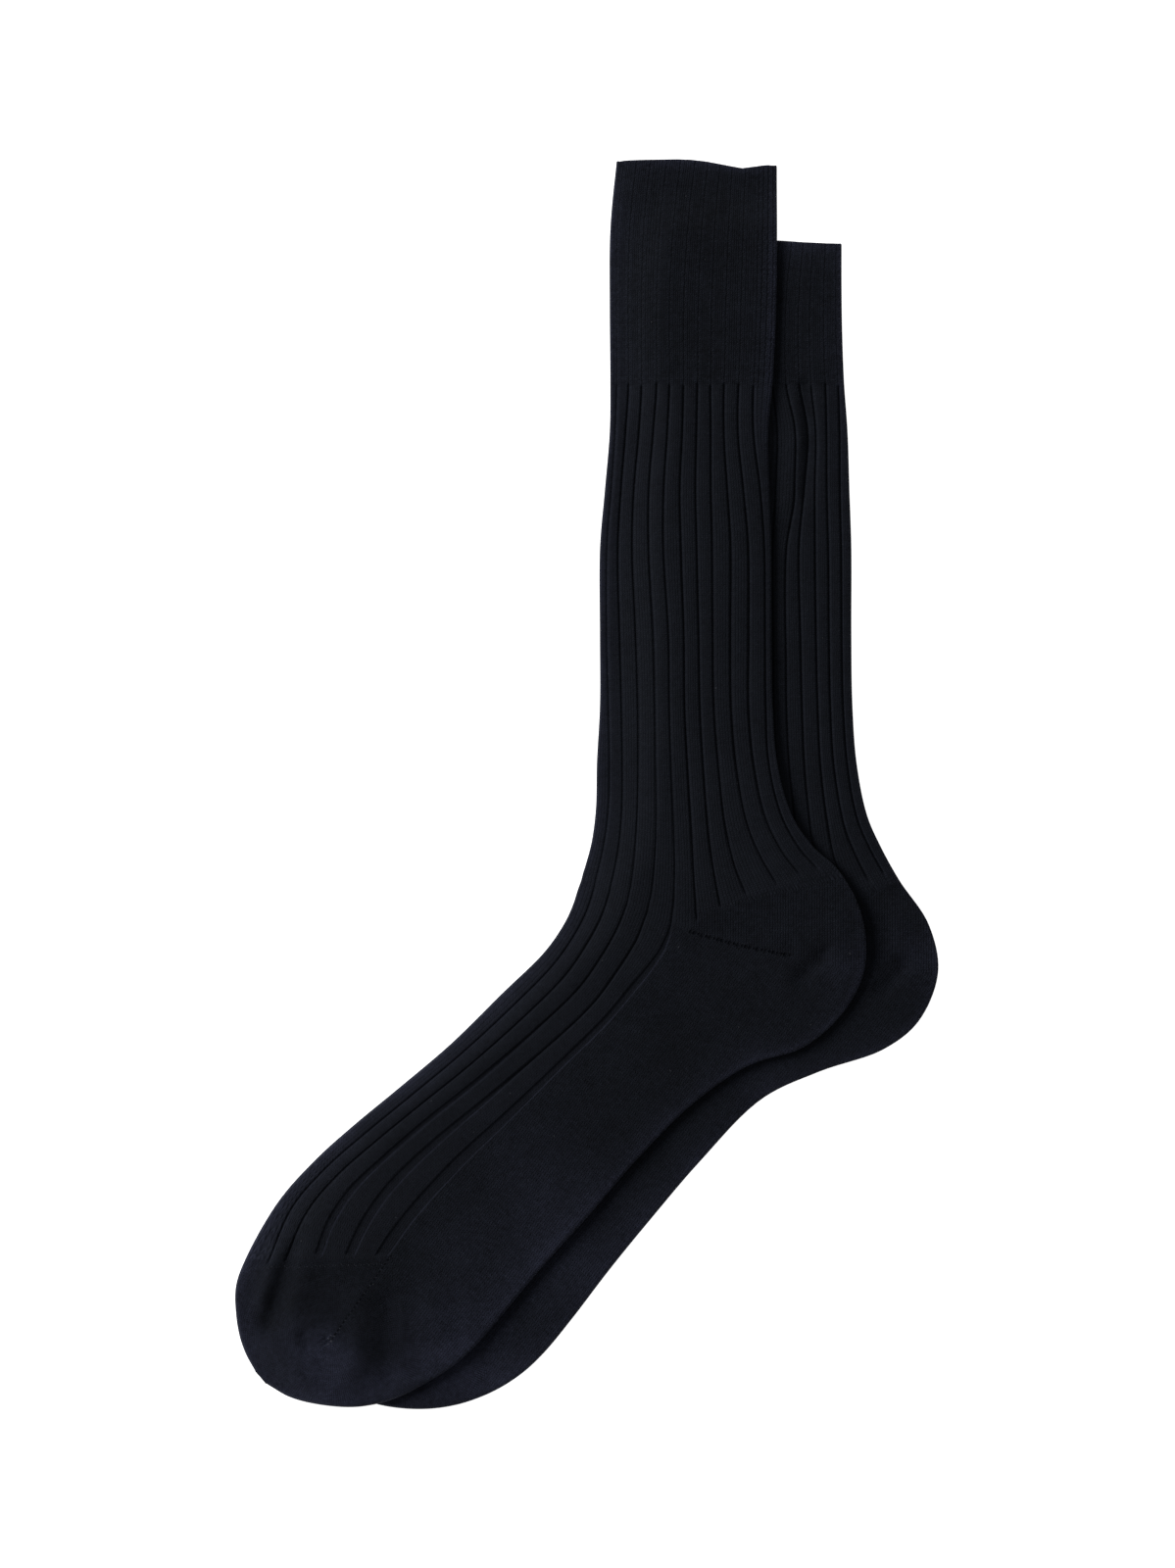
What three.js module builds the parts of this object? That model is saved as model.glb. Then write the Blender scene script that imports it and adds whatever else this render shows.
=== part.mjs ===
// A pair of ribbed dress socks laid flat, the upper sock lying on the lower one.
// Millimetres, +Z up. The surface is z = 0, the cuffs lie towards +Y and the toes towards -X.
import * as THREE from "three";
import { mergeVertices } from "three/addons/utils/BufferGeometryUtils.js";

// Driving sizes of the knitted cloth
const WALL = 1.1; // one knitted layer, measured at the bottom of a groove
const HOLLOW = 0.4; // free height between the two layers of a flattened tube
const RIB_RISE = 0.55; // crown of a rib above the bottom of its groove
const PLAIN_RISE = 0.3; // plain knit above the same level
const SEAM_GAP = 0.3; // between neighbouring pieces, and between the two socks
const SHOULDER = 0.27; // half width of a groove, as a part of the rib pitch
const EDGE_STEP = 0.3; // least distance of a groove's column from a fold or from the middle line
const DRAPE = 20; // length over which the upper sock comes down beside the lower one
const DRAPE_LEAD = 3; // how far outside the lower sock the upper one is still at full height
const FOLD_STEPS = 4; // faces round a folded edge
const CAP_STEPS = 2; // faces round the end of the toe
const FRONT_GROOVES = 5; // grooves from the front edge to the middle line
const BACK_GROOVES = 6; // grooves from the middle line to the back edge

const FOLD_RADIUS = WALL + HOLLOW / 2;
const LAID_HEIGHT = 2 * FOLD_RADIUS + RIB_RISE;

// Each section of a sock runs from the front (instep) edge over the middle line to the back (sole) edge.
// Grooves are spread between a first and a last place, as parts of the front and of the back half.
// spread above 1 widens the grooves' pitch towards the middle line.
const SECTION_COLUMNS = [
  "name", "frontX", "frontY", "middleX", "middleY", "backX", "backY",
  "frontFirst", "frontLast", "spread", "backFirst", "backLast",
];
const UPPER_SECTIONS = named(SECTION_COLUMNS, [
  ["mouth", 10.8, 229.6, 38.2, 230, 69.8, 228.2, 0.1, 0.88, 1, 0.05, 0.81],
  ["cuffHigh", 8.5, 203.2, 35.3, 203.2, 69.8, 203.2, 0.1, 0.88, 1, 0.05, 0.81],
  ["cuffLow", 8.3, 176.2, 33.8, 176.2, 69.5, 176.2, 0.1, 0.88, 1, 0.05, 0.81],
  ["legTop", 8.5, 147.8, 33.8, 147.8, 68.2, 147.8, 0.1, 0.88, 1, 0.05, 0.81],
  ["calfHigh", 8.3, 129.4, 33.1, 129.4, 66.6, 129.4, 0.09, 0.87, 1, 0.065, 0.85],
  ["calf", 6.5, 107.8, 32, 107.8, 67, 107.8, 0.1, 0.86, 1, 0.062, 0.907],
  ["calfLow", 4.7, 86.2, 32, 86.2, 67.7, 86.2, 0.1, 0.855, 1, 0.07, 0.94],
  ["shinHigh", 4.7, 53.8, 33.8, 53.8, 67.7, 53.8, 0.08, 0.877, 1, 0.064, 0.936],
  ["shin", 4.7, 28.6, 34, 27.9, 68.2, 28.6, 0.105, 0.885, 1, 0.063, 0.927],
  ["ankleHigh", 3.6, 7.7, 34.9, 5.6, 69.8, 7.7, 0.15, 0.885, 1, 0.062, 0.907],
  ["ankle", 3.2, -9.5, 36.2, -16.7, 74.9, -11, 0.14, 0.88, 1, 0.06, 0.907],
  ["ankleLow", 1.6, -21.8, 37.1, -33.3, 82.4, -22.5, 0.14, 0.88, 1, 0.055, 0.89],
  ["heelTop", -0.7, -30.4, 37.4, -47.7, 92.9, -32.6, 0.14, 0.88, 1, 0.05, 0.88],
  ["heelHigh", -1.4, -32.6, 37.3, -50.2, 100.8, -48.4, 0.15, 0.89, 1, 0.05, 0.88],
  ["heelGore", -2.5, -35.5, 37.1, -53.5, 101.9, -67.9, 0.15, 0.9, 1, 0.05, 0.88],
  ["heelLow", -4, -39.1, 34.2, -57.8, 94.3, -83.7, 0.16, 0.91, 1, 0.05, 0.88],
  ["heelEnd", -5.6, -44.1, 28.8, -63.9, 79.6, -96.7, 0.165, 0.92, 1, 0.05, 0.88],
  ["archHigh", -8.3, -51.3, 19.8, -73.6, 59.4, -103.5, 0.17, 0.93, 1, 0.05, 0.88],
  ["arch", -15.5, -61.7, 7.9, -87.7, 38.9, -117.5, 0.17, 0.94, 1.03, 0.05, 0.88],
  ["archLow", -31.3, -77.2, -9.7, -104.9, 17.6, -138.8, 0.17, 0.93, 1.1, 0.05, 0.88],
  ["footHigh", -50, -95.6, -28.1, -122.2, 0, -159.3, 0.165, 0.92, 1.25, 0.05, 0.88],
  ["foot", -69.1, -111.8, -46.8, -139.9, -16.9, -178, 0.157, 0.92, 1.45, 0.05, 0.88],
  ["footLow", -85.7, -125.5, -60.8, -156.1, -31.3, -195.3, 0.14, 0.925, 1.5, 0.05, 0.88],
  ["ball", -99.7, -138.1, -67.7, -165.1, -42.8, -208.3, 0.13, 0.93, 1.5, 0.05, 0.88],
  ["ballLow", -113.4, -153.5, -70.6, -170.1, -50, -214.4, 0.15, 0.93, 1.35, 0.05, 0.88],
  ["toeTop", -125.6, -174.8, -72.4, -174.1, -58, -219.4, 0.19, 0.93, 1.2, 0.05, 0.88],
  ["toeHigh", -128.7, -184.9, -77.4, -181.3, -70.2, -225.5, 0.19, 0.93, 1.2, 0.05, 0.88],
  ["toe", -129.1, -194.6, -84.6, -191, -83.9, -228.8, 0.19, 0.93, 1.2, 0.05, 0.88],
  ["toeLow", -127.4, -203.2, -91.8, -201.4, -98.6, -228.1, 0.19, 0.93, 1.2, 0.05, 0.88],
  ["toeRound", -125.3, -209.7, -103.3, -211.5, -109.1, -224.8, 0.19, 0.93, 1.2, 0.05, 0.88],
  ["toeTip", -122.4, -214.7, -117.7, -217.3, -117, -220.5, 0.19, 0.93, 1.2, 0.05, 0.88],
]);
const LOWER_SECTIONS = named(SECTION_COLUMNS, [
  ["mouth", 35.3, 198.2, 62.6, 198.5, 93.6, 198.2, 0.1, 0.88, 1, 0.16, 0.9],
  ["cuffHigh", 32.9, 183.4, 59.8, 183.4, 93.6, 183.4, 0.1, 0.88, 1, 0.16, 0.9],
  ["cuffLow", 32.8, 167.2, 58.3, 167.2, 93.8, 167.2, 0.1, 0.88, 1, 0.16, 0.9],
  ["legTop", 32.9, 147.8, 58.3, 147.8, 94.5, 147.8, 0.1, 0.88, 1, 0.16, 0.9],
  ["calfHigh", 36.7, 128.3, 61.6, 128.3, 95.8, 129.4, 0.09, 0.87, 1, 0.16, 0.9],
  ["calf", 34.9, 106.7, 60.5, 106.7, 96.5, 107.8, 0.1, 0.86, 1, 0.16, 0.9],
  ["calfLow", 33.1, 85.1, 60.5, 85.1, 97.2, 86.2, 0.1, 0.855, 1, 0.16, 0.9],
  ["shinHigh", 33.1, 52.7, 62.3, 52.7, 97.2, 53.8, 0.08, 0.877, 1, 0.16, 0.9],
  ["shin", 33.1, 27.5, 62.5, 26.8, 97.6, 28.6, 0.105, 0.885, 1, 0.16, 0.9],
  ["ankleHigh", 32, 6.7, 63.4, 4.5, 99.2, 7, 0.15, 0.885, 1, 0.16, 0.9],
  ["ankle", 31.7, -10.6, 64.6, -17.8, 103, -11.7, 0.14, 0.88, 1, 0.16, 0.9],
  ["ankleLow", 28.3, -22.9, 63.7, -34.4, 108, -23.2, 0.14, 0.88, 1, 0.16, 0.9],
  ["heelTop", 25.9, -31.5, 64.1, -48.8, 114.8, -35.5, 0.14, 0.88, 1, 0.16, 0.9],
  ["heelHigh", 25.2, -33.7, 63.9, -51.3, 125.6, -51.7, 0.15, 0.89, 1, 0.16, 0.9],
  ["heelGore", 22.7, -36.5, 62.3, -54.5, 129.1, -69.3, 0.15, 0.9, 1, 0.16, 0.9],
  ["heelLow", 21.2, -40.1, 59.4, -58.9, 122, -87.3, 0.16, 0.91, 1, 0.16, 0.9],
  ["heelEnd", 19.6, -45.2, 54, -65, 109.1, -97.7, 0.165, 0.92, 1, 0.16, 0.9],
  ["archHigh", 16.9, -52.4, 45, -74.7, 85.3, -106, 0.17, 0.93, 1, 0.16, 0.9],
  ["arch", 9.7, -62.8, 33.1, -88.7, 64.1, -116.1, 0.17, 0.94, 1.03, 0.16, 0.9],
  ["archLow", -6.1, -78.3, 15.5, -106, 41.4, -139.1, 0.17, 0.93, 1.1, 0.16, 0.9],
  ["footHigh", -24.8, -96.7, -2.9, -123.3, 23.8, -159.7, 0.165, 0.92, 1.25, 0.16, 0.9],
  ["foot", -43.9, -112.9, -21.6, -140.9, 8.3, -178.7, 0.157, 0.92, 1.45, 0.16, 0.9],
  ["footLow", -60.5, -126.5, -35.6, -157.1, -5.8, -196.7, 0.14, 0.925, 1.5, 0.16, 0.9],
  ["ball", -74.5, -139.1, -42.5, -166.1, -16.6, -209.3, 0.13, 0.93, 1.5, 0.16, 0.9],
  ["ballLow", -88.2, -154.6, -45.4, -171.2, -24.8, -216.9, 0.15, 0.93, 1.35, 0.16, 0.9],
  ["toeTop", -100.4, -175.9, -47.2, -175.1, -34.9, -223.7, 0.19, 0.93, 1.2, 0.16, 0.9],
  ["toeHigh", -103.5, -185.9, -52.2, -182.3, -47.9, -228.4, 0.19, 0.93, 1.2, 0.16, 0.9],
  ["toe", -103.9, -195.7, -59.4, -192.1, -60.8, -230, 0.19, 0.93, 1.2, 0.16, 0.9],
  ["toeLow", -102.2, -204.3, -66.6, -202.5, -74.5, -228.8, 0.19, 0.93, 1.2, 0.16, 0.9],
  ["toeRound", -100.1, -210.8, -78.1, -212.6, -83.9, -225.9, 0.19, 0.93, 1.2, 0.16, 0.9],
  ["toeTip", -97.2, -215.8, -92.5, -218.3, -91.1, -221.9, 0.19, 0.93, 1.2, 0.16, 0.9],
]);

// The largest folds of the upper layer of each sock: a soft ridge along a line, wide is its half width.
const FOLD_COLUMNS = ["startX", "startY", "endX", "endY", "wide", "rise"];
const UPPER_FOLDS = named(FOLD_COLUMNS, [
  [75, -62, 90, -70, 15, 0.6],
  [-105, -192, -92, -212, 17, 0.6],
  [40, -60, -10, -120, 9, 0.25],
]);
const LOWER_FOLDS = named(FOLD_COLUMNS, [
  [86, 138, 87, 92, 5, 0.5],
  [112, -60, 108, -84, 11, 0.5],
]);

// The section where each piece begins; the next piece begins where it ends
const LEG_TOP = rowOf("legTop");
const HEEL_TOP = rowOf("heelTop");
const HEEL_END = rowOf("heelEnd");
const TOE_TOP = rowOf("toeTop");
const TOE_TIP = rowOf("toeTip");
const RIB_END = 0.2; // part of a section over which the ribs die away at a plain neighbour

// Where the rows of a piece's mesh lie: section numbers, and parts between two sections
const ROWS = {
  upperCuff: [0, 0.3, 0.6, 0.8, 1, 1.5, 2.2, LEG_TOP],
  lowerCuff: [0, 1, 2, LEG_TOP],
  leg: [LEG_TOP, LEG_TOP + RIB_END, 4, 5, 6, 7, 8, 9, 10, 11, HEEL_TOP - RIB_END, HEEL_TOP],
  heel: steps(HEEL_TOP, HEEL_END, 8),
  foot: [...steps(HEEL_TOP, TOE_TOP - 1, TOE_TOP - 1 - HEEL_TOP), TOE_TOP - RIB_END, TOE_TOP],
  toe: steps(TOE_TOP, TOE_TIP, TOE_TIP - TOE_TOP),
};
const PLAIN_PLACES = [0.1, 0.28, 0.46, 0.64, 0.82];

const COLOURS = { cuff: 0x14151a, leg: 0x14161b, heel: 0x13141a, foot: 0x15161c, toe: 0x16171d };

// Turns rows of values into objects with the given names
function named(columns, rows) {
  return rows.map((row) => Object.fromEntries(columns.map((column, i) => [column, row[i]])));
}

function rowOf(name) {
  return UPPER_SECTIONS.findIndex((section) => section.name === name);
}

function steps(from, to, count) {
  return Array.from({ length: count + 1 }, (_, i) => from + ((to - from) * i) / count);
}

function edgeCurve(sections, across, along) {
  const points = sections.map((section) => new THREE.Vector3(section[across], section[along], 0));
  return new THREE.CatmullRomCurve3(points, false, "centripetal");
}

function makeSock(sections, folds, ground) {
  const last = sections.length - 1;
  const curves = {
    front: edgeCurve(sections, "frontX", "frontY"),
    middle: edgeCurve(sections, "middleX", "middleY"),
    back: edgeCurve(sections, "backX", "backY"),
  };
  const at = (side, row) => curves[side].getPoint(row / last);
  const value = (key, row) => {
    const low = Math.min(Math.floor(row), last - 1);
    return THREE.MathUtils.lerp(sections[low][key], sections[low + 1][key], row - low);
  };
  return { last, at, value, folds, ground };
}

// Direction out of the sock, square to its front or back edge
function outwards(sock, side, row) {
  const step = 0.05;
  const before = sock.at(side, Math.max(row - step, 0));
  const after = sock.at(side, Math.min(row + step, sock.last));
  const along = after.sub(before).normalize();
  const out = new THREE.Vector3(along.y, -along.x, 0);
  const inside = sock.at("middle", row).sub(sock.at(side, row));
  return out.dot(inside) > 0 ? out.negate() : out;
}

// Where groove number i of one half lies, as a part of that half
function groovePlace(sock, side, i, row) {
  if (side === "front") {
    const first = sock.value("frontFirst", row);
    const part = (i / (FRONT_GROOVES - 1)) ** sock.value("spread", row);
    return first + (sock.value("frontLast", row) - first) * part;
  }
  const first = sock.value("backFirst", row);
  return first + (sock.value("backLast", row) - first) * (i / (BACK_GROOVES - 1));
}

// A groove column's distance from the edge of its half: its groove, moved by a part of the rib pitch
function grooveReach(sock, column, row, length) {
  const { side, groove, offset } = column;
  const count = side === "front" ? FRONT_GROOVES : BACK_GROOVES;
  const here = groovePlace(sock, side, groove, row);
  const inner = groove + Math.sign(offset);
  const neighbour = inner < 0 || inner >= count ? groove - Math.sign(offset) : inner;
  const pitch = Math.abs(groovePlace(sock, side, neighbour, row) - here);
  const place = here + offset * pitch;
  return (side === "front" ? place : 1 - place) * length;
}

// The point of the flattened tube's middle sheet under a column, before its thickness is given
function corePoint(sock, column, row) {
  const edge = sock.at(column.side, row);
  const across = sock.at("middle", row).sub(edge);
  const length = across.length();
  across.normalize();
  const foldReach = FOLD_RADIUS / Math.abs(across.dot(outwards(sock, column.side, row)));
  let reach = foldReach;
  if (column.groove !== undefined) {
    const free = grooveReach(sock, column, row, length);
    reach = THREE.MathUtils.clamp(free, foldReach + EDGE_STEP, length - EDGE_STEP);
  } else if (column.middle) {
    reach = length - column.gap;
  } else if (!column.fold) {
    reach = foldReach + (length - foldReach) * column.place;
  }
  return edge.addScaledVector(across, reach);
}

// Height of the knit above the bottom of a groove: ribs die away where plain knit begins
function riseOf(column, row) {
  const end = column.side === "front" ? TOE_TOP : HEEL_TOP;
  const ribbed = THREE.MathUtils.clamp(Math.min(row - LEG_TOP, end - row) / RIB_END, 0, 1);
  return THREE.MathUtils.lerp(PLAIN_RISE, column.rise, ribbed);
}

// Height of the soft folds of the top layer
function foldRise(folds, point) {
  let rise = 0;
  for (const fold of folds) {
    const start = new THREE.Vector3(fold.startX, fold.startY, 0);
    const end = new THREE.Vector3(fold.endX, fold.endY, 0);
    const nearest = new THREE.Line3(start, end).closestPointToPoint(point, true, new THREE.Vector3());
    const reach = nearest.distanceTo(point.clone().setZ(0)) / fold.wide;
    rise += fold.rise * Math.exp(-reach * reach);
  }
  return rise;
}

// One point of the wall. cap is 0 along the sock and a quarter turn at the closed end of the toe.
function wallPoint(sock, column, row, outside, cap) {
  const core = corePoint(sock, column, row);
  const radius = outside ? FOLD_RADIUS : HOLLOW / 2;
  const turn = column.fold ? column.turn : column.top ? Math.PI / 2 : -Math.PI / 2;
  const point = core.clone();
  if (column.fold) {
    const reach = radius * Math.cos(turn) * Math.cos(cap);
    point.addScaledVector(outwards(sock, column.side, row), reach);
  }
  if (cap > 0) {
    const across = sock.at("back", row).sub(sock.at("front", row)).normalize();
    point.addScaledVector(new THREE.Vector3(across.y, -across.x, 0), radius * Math.sin(cap));
  }
  const upward = Math.sin(turn) * Math.cos(cap);
  const raised = foldRise(sock.folds, core) + (outside ? riseOf(column, row) : 0);
  const lift = Math.max(upward, 0) * raised;
  point.z = sock.ground(point) + FOLD_RADIUS + radius * upward + lift;
  return point;
}

// Columns across the top of one half: three to each groove on ribbed knit, or evenly placed ones
function halfColumns(side, ribbed) {
  if (!ribbed) {
    const columns = PLAIN_PLACES.map((place) => ({ side, place, rise: PLAIN_RISE }));
    return side === "front" ? columns : columns.reverse();
  }
  const columns = [];
  const count = side === "front" ? FRONT_GROOVES : BACK_GROOVES;
  for (let groove = 0; groove < count; groove += 1) {
    columns.push({ side, groove, offset: -SHOULDER, rise: RIB_RISE });
    columns.push({ side, groove, offset: 0, rise: 0 });
    columns.push({ side, groove, offset: SHOULDER, rise: RIB_RISE });
  }
  return columns;
}

function foldColumns(side, rise) {
  const columns = [];
  for (let i = 0; i <= FOLD_STEPS; i += 1) {
    columns.push({ side, fold: true, turn: Math.PI / 2 - (Math.PI * i) / FOLD_STEPS, rise });
  }
  return side === "back" ? columns : columns.reverse();
}

// The columns round a tube, from the front edge over the top to the back edge and back underneath
function ringColumns({ front, back, half }) {
  const middleOf = (side) => ({ side, middle: true, gap: half === "tube" ? 0 : SEAM_GAP / 2, rise: PLAIN_RISE });
  const top = [];
  const under = [];
  if (half !== "back") {
    top.push(...halfColumns("front", front), middleOf("front"));
    under.push(...halfColumns("front", false), middleOf("front"));
  }
  if (half !== "tube") {
    top.push(middleOf("back"));
    under.push(middleOf("back"));
  }
  top.push(...halfColumns("back", back));
  under.push(...halfColumns("back", false));
  const ring = top.map((column) => ({ ...column, top: true }));
  ring.push(...foldColumns("back", back ? RIB_RISE : PLAIN_RISE));
  ring.push(...under.reverse().map((column) => ({ ...column, top: false })));
  if (half !== "back") {
    ring.push(...foldColumns("front", front ? RIB_RISE : PLAIN_RISE));
  }
  return ring;
}

// Moves a row off a seam by half the seam gap, measured along the column
function seamRow(sock, column, row, way) {
  const step = 0.1;
  const here = corePoint(sock, column, row);
  const there = corePoint(sock, column, row + way * step);
  return row + (way * step * SEAM_GAP) / 2 / here.distanceTo(there);
}

// Builds a closed wall over the cells of a grid of rows and ring columns
function wallMesh(name, sock, columns, rows, options) {
  const { wraps = true, closed = false, keeps = () => true } = options;
  const levels = rows.map((row) => ({ row, cap: 0 }));
  for (let i = 1; closed && i <= CAP_STEPS; i += 1) {
    levels.push({ row: rows.at(-1), cap: (Math.PI / 2) * (i / CAP_STEPS) });
  }
  const width = columns.length;
  const half = levels.length * width;
  const positions = [];
  for (const outside of [true, false]) {
    levels.forEach(({ row, cap }, i) => {
      for (const column of columns) {
        let place = row;
        if (i === 0 && row > 0) {
          place = seamRow(sock, column, row, 1);
        } else if (i === levels.length - 1 && !closed) {
          place = seamRow(sock, column, row, -1);
        } else if (row === options.stepRow) {
          place = seamRow(sock, column, row, 1);
        }
        positions.push(...wallPoint(sock, column, place, outside, cap).toArray());
      }
    });
  }
  const cellRows = levels.length - 1;
  const cellColumns = wraps ? width : width - 1;
  const kept = (i, j) => i >= 0 && i < cellRows && (wraps || (j >= 0 && j < cellColumns))
    && keeps(levels[i].row, columns[(j + width) % width], columns[(j + 1 + width) % width]);
  const index = [];
  const corner = (i, j) => i * width + ((j + width) % width);
  const side = (p, q) => index.push(q, p, p + half, q, p + half, q + half);
  for (let i = 0; i < cellRows; i += 1) {
    for (let j = 0; j < cellColumns; j += 1) {
      if (!kept(i, j)) {
        continue;
      }
      const [a, b, c, d] = [corner(i, j), corner(i, j + 1), corner(i + 1, j + 1), corner(i + 1, j)];
      index.push(a, d, c, a, c, b);
      index.push(a + half, c + half, d + half, a + half, b + half, c + half);
      if (!kept(i, j - 1)) {
        side(a, d);
      }
      if (!kept(i, j + 1)) {
        side(c, b);
      }
      if (!kept(i - 1, j)) {
        side(b, a);
      }
      if (!kept(i + 1, j) && !(closed && i === cellRows - 1)) {
        side(d, c);
      }
    }
  }
  const geometry = closedGeometry(positions, index);
  const material = new THREE.MeshStandardMaterial({ color: options.colour, roughness: 0.95, metalness: 0 });
  const mesh = new THREE.Mesh(geometry, material);
  mesh.name = name;
  return mesh;
}

// Joins equal points and leaves out faces that have shrunk to a line
function closedGeometry(positions, index) {
  const loose = new THREE.BufferGeometry();
  loose.setAttribute("position", new THREE.Float32BufferAttribute(positions, 3));
  loose.setIndex(index);
  const joined = mergeVertices(loose, 1e-3);
  const faces = Array.from(joined.index.array);
  const kept = [];
  for (let i = 0; i < faces.length; i += 3) {
    const [a, b, c] = faces.slice(i, i + 3);
    if (a !== b && b !== c && c !== a) {
      kept.push(a, b, c);
    }
  }
  joined.setIndex(kept);
  joined.computeVertexNormals();
  return joined;
}

// The outline of a laid sock as a closed list of points
function outlineOf(sock) {
  const points = [];
  for (let row = 0; row <= sock.last; row += 0.5) {
    points.push(sock.at("back", row));
  }
  for (let row = sock.last; row >= 0; row -= 0.5) {
    points.push(sock.at("front", row));
  }
  return points;
}

// How far a point lies outside an outline, and 0 inside it
function distanceOutside(outline, point) {
  let inside = false;
  let nearest = Infinity;
  const flat = new THREE.Vector3(point.x, point.y, 0);
  const foot = new THREE.Vector3();
  for (let i = 0; i < outline.length; i += 1) {
    const a = outline[i];
    const b = outline[(i + 1) % outline.length];
    if (a.y > flat.y !== b.y > flat.y && flat.x < ((b.x - a.x) * (flat.y - a.y)) / (b.y - a.y) + a.x) {
      inside = !inside;
    }
    new THREE.Line3(a, b).closestPointToPoint(flat, true, foot);
    nearest = Math.min(nearest, foot.distanceTo(flat));
  }
  return inside ? 0 : nearest;
}

function addSock(group, label, sock, cuffRows) {
  const tube = (front, back) => ringColumns({ front, back, half: "tube" });
  group.add(wallMesh(`${label}-cuff`, sock, tube(false, false), cuffRows, { colour: COLOURS.cuff }));
  group.add(wallMesh(`${label}-leg`, sock, tube(true, true), ROWS.leg, { colour: COLOURS.leg }));
  const heel = ringColumns({ front: false, back: false, half: "back" });
  group.add(wallMesh(`${label}-heel`, sock, heel, ROWS.heel, { colour: COLOURS.heel, wraps: false }));
  const foot = ringColumns({ front: true, back: false, half: "both" });
  const beside = (column) => column.side === "back";
  const footOptions = {
    colour: COLOURS.foot,
    stepRow: HEEL_END,
    keeps: (row, left, right) => row >= HEEL_END || !(beside(left) || beside(right)),
  };
  group.add(wallMesh(`${label}-foot`, sock, foot, ROWS.foot, footOptions));
  const toe = tube(false, false);
  group.add(wallMesh(`${label}-toe`, sock, toe, ROWS.toe, { colour: COLOURS.toe, closed: true }));
}

const group = new THREE.Group();
const lowerSock = makeSock(LOWER_SECTIONS, LOWER_FOLDS, () => 0);
const lowerOutline = outlineOf(lowerSock);
const upperGround = (point) => {
  const away = distanceOutside(lowerOutline, point) - DRAPE_LEAD;
  return (LAID_HEIGHT + SEAM_GAP) * (1 - THREE.MathUtils.smoothstep(away, 0, DRAPE));
};
const upperSock = makeSock(UPPER_SECTIONS, UPPER_FOLDS, upperGround);
addSock(group, "lower", lowerSock, ROWS.lowerCuff);
addSock(group, "upper", upperSock, ROWS.upperCuff);

export default group;
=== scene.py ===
import bpy
import math
import numpy as np
from mathutils import Matrix, Vector


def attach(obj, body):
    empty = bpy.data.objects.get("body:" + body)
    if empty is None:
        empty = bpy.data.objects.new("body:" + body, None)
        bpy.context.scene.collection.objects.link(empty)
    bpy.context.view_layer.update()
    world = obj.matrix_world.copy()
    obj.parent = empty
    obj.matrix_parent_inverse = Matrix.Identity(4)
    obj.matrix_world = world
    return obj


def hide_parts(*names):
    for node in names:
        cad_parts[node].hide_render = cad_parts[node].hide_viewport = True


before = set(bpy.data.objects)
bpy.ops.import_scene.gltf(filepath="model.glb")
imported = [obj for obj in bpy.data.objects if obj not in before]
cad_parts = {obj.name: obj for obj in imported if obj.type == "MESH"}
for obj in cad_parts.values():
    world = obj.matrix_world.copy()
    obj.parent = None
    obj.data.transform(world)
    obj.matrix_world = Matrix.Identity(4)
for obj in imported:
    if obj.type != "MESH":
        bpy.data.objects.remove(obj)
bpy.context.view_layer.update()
bpy.ops.object.select_all(action="DESELECT")
print("frame loaded")

mm = 0.001

# Sizes in mm unless said otherwise. The wall sizes are the solids' own.
cloth = {
    "wall": 1.1, "hollow": 0.4, "ribRise": 0.55, "plainRise": 0.5, "gap": 0.3,
    "drape": 20.0, "drapeLead": 3.0,
    "grooveHalf": 0.72, "grooveDepth": 0.54, "channelHalf": 0.28, "channelDepth": 0.45, "underDepth": 0.42,
    "shoulder": 0.36, "shoulderReach": 1.5, "ribFade": 1.1, "heelFade": 2.6,
    "edgeDrop": 1.0, "edgeReach": 5.0, "toeBulge": 0.45, "deepestCrease": 1.75,
    # the knit: columns are wales and rows are courses, counted across one face and all round
    "waleWidth": 0.96, "courseHeight": 0.8, "faceWales": 57.0, "roundWales": 116.0, "toeWales": 172,
}
foldRadius = cloth["wall"] + cloth["hollow"] / 2
laidHeight = 2 * foldRadius + cloth["ribRise"]
# the sections where the leg's ribs start, the heel starts and ends, and the toe starts and ends
legTop, heelTop, heelEnd, toeTop, toeTip = 3, 12, 16, 25, 30
goreSection = 14  # the heel's gore runs along it
frontCount = 5  # grooves on a face in front of the middle line

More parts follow.
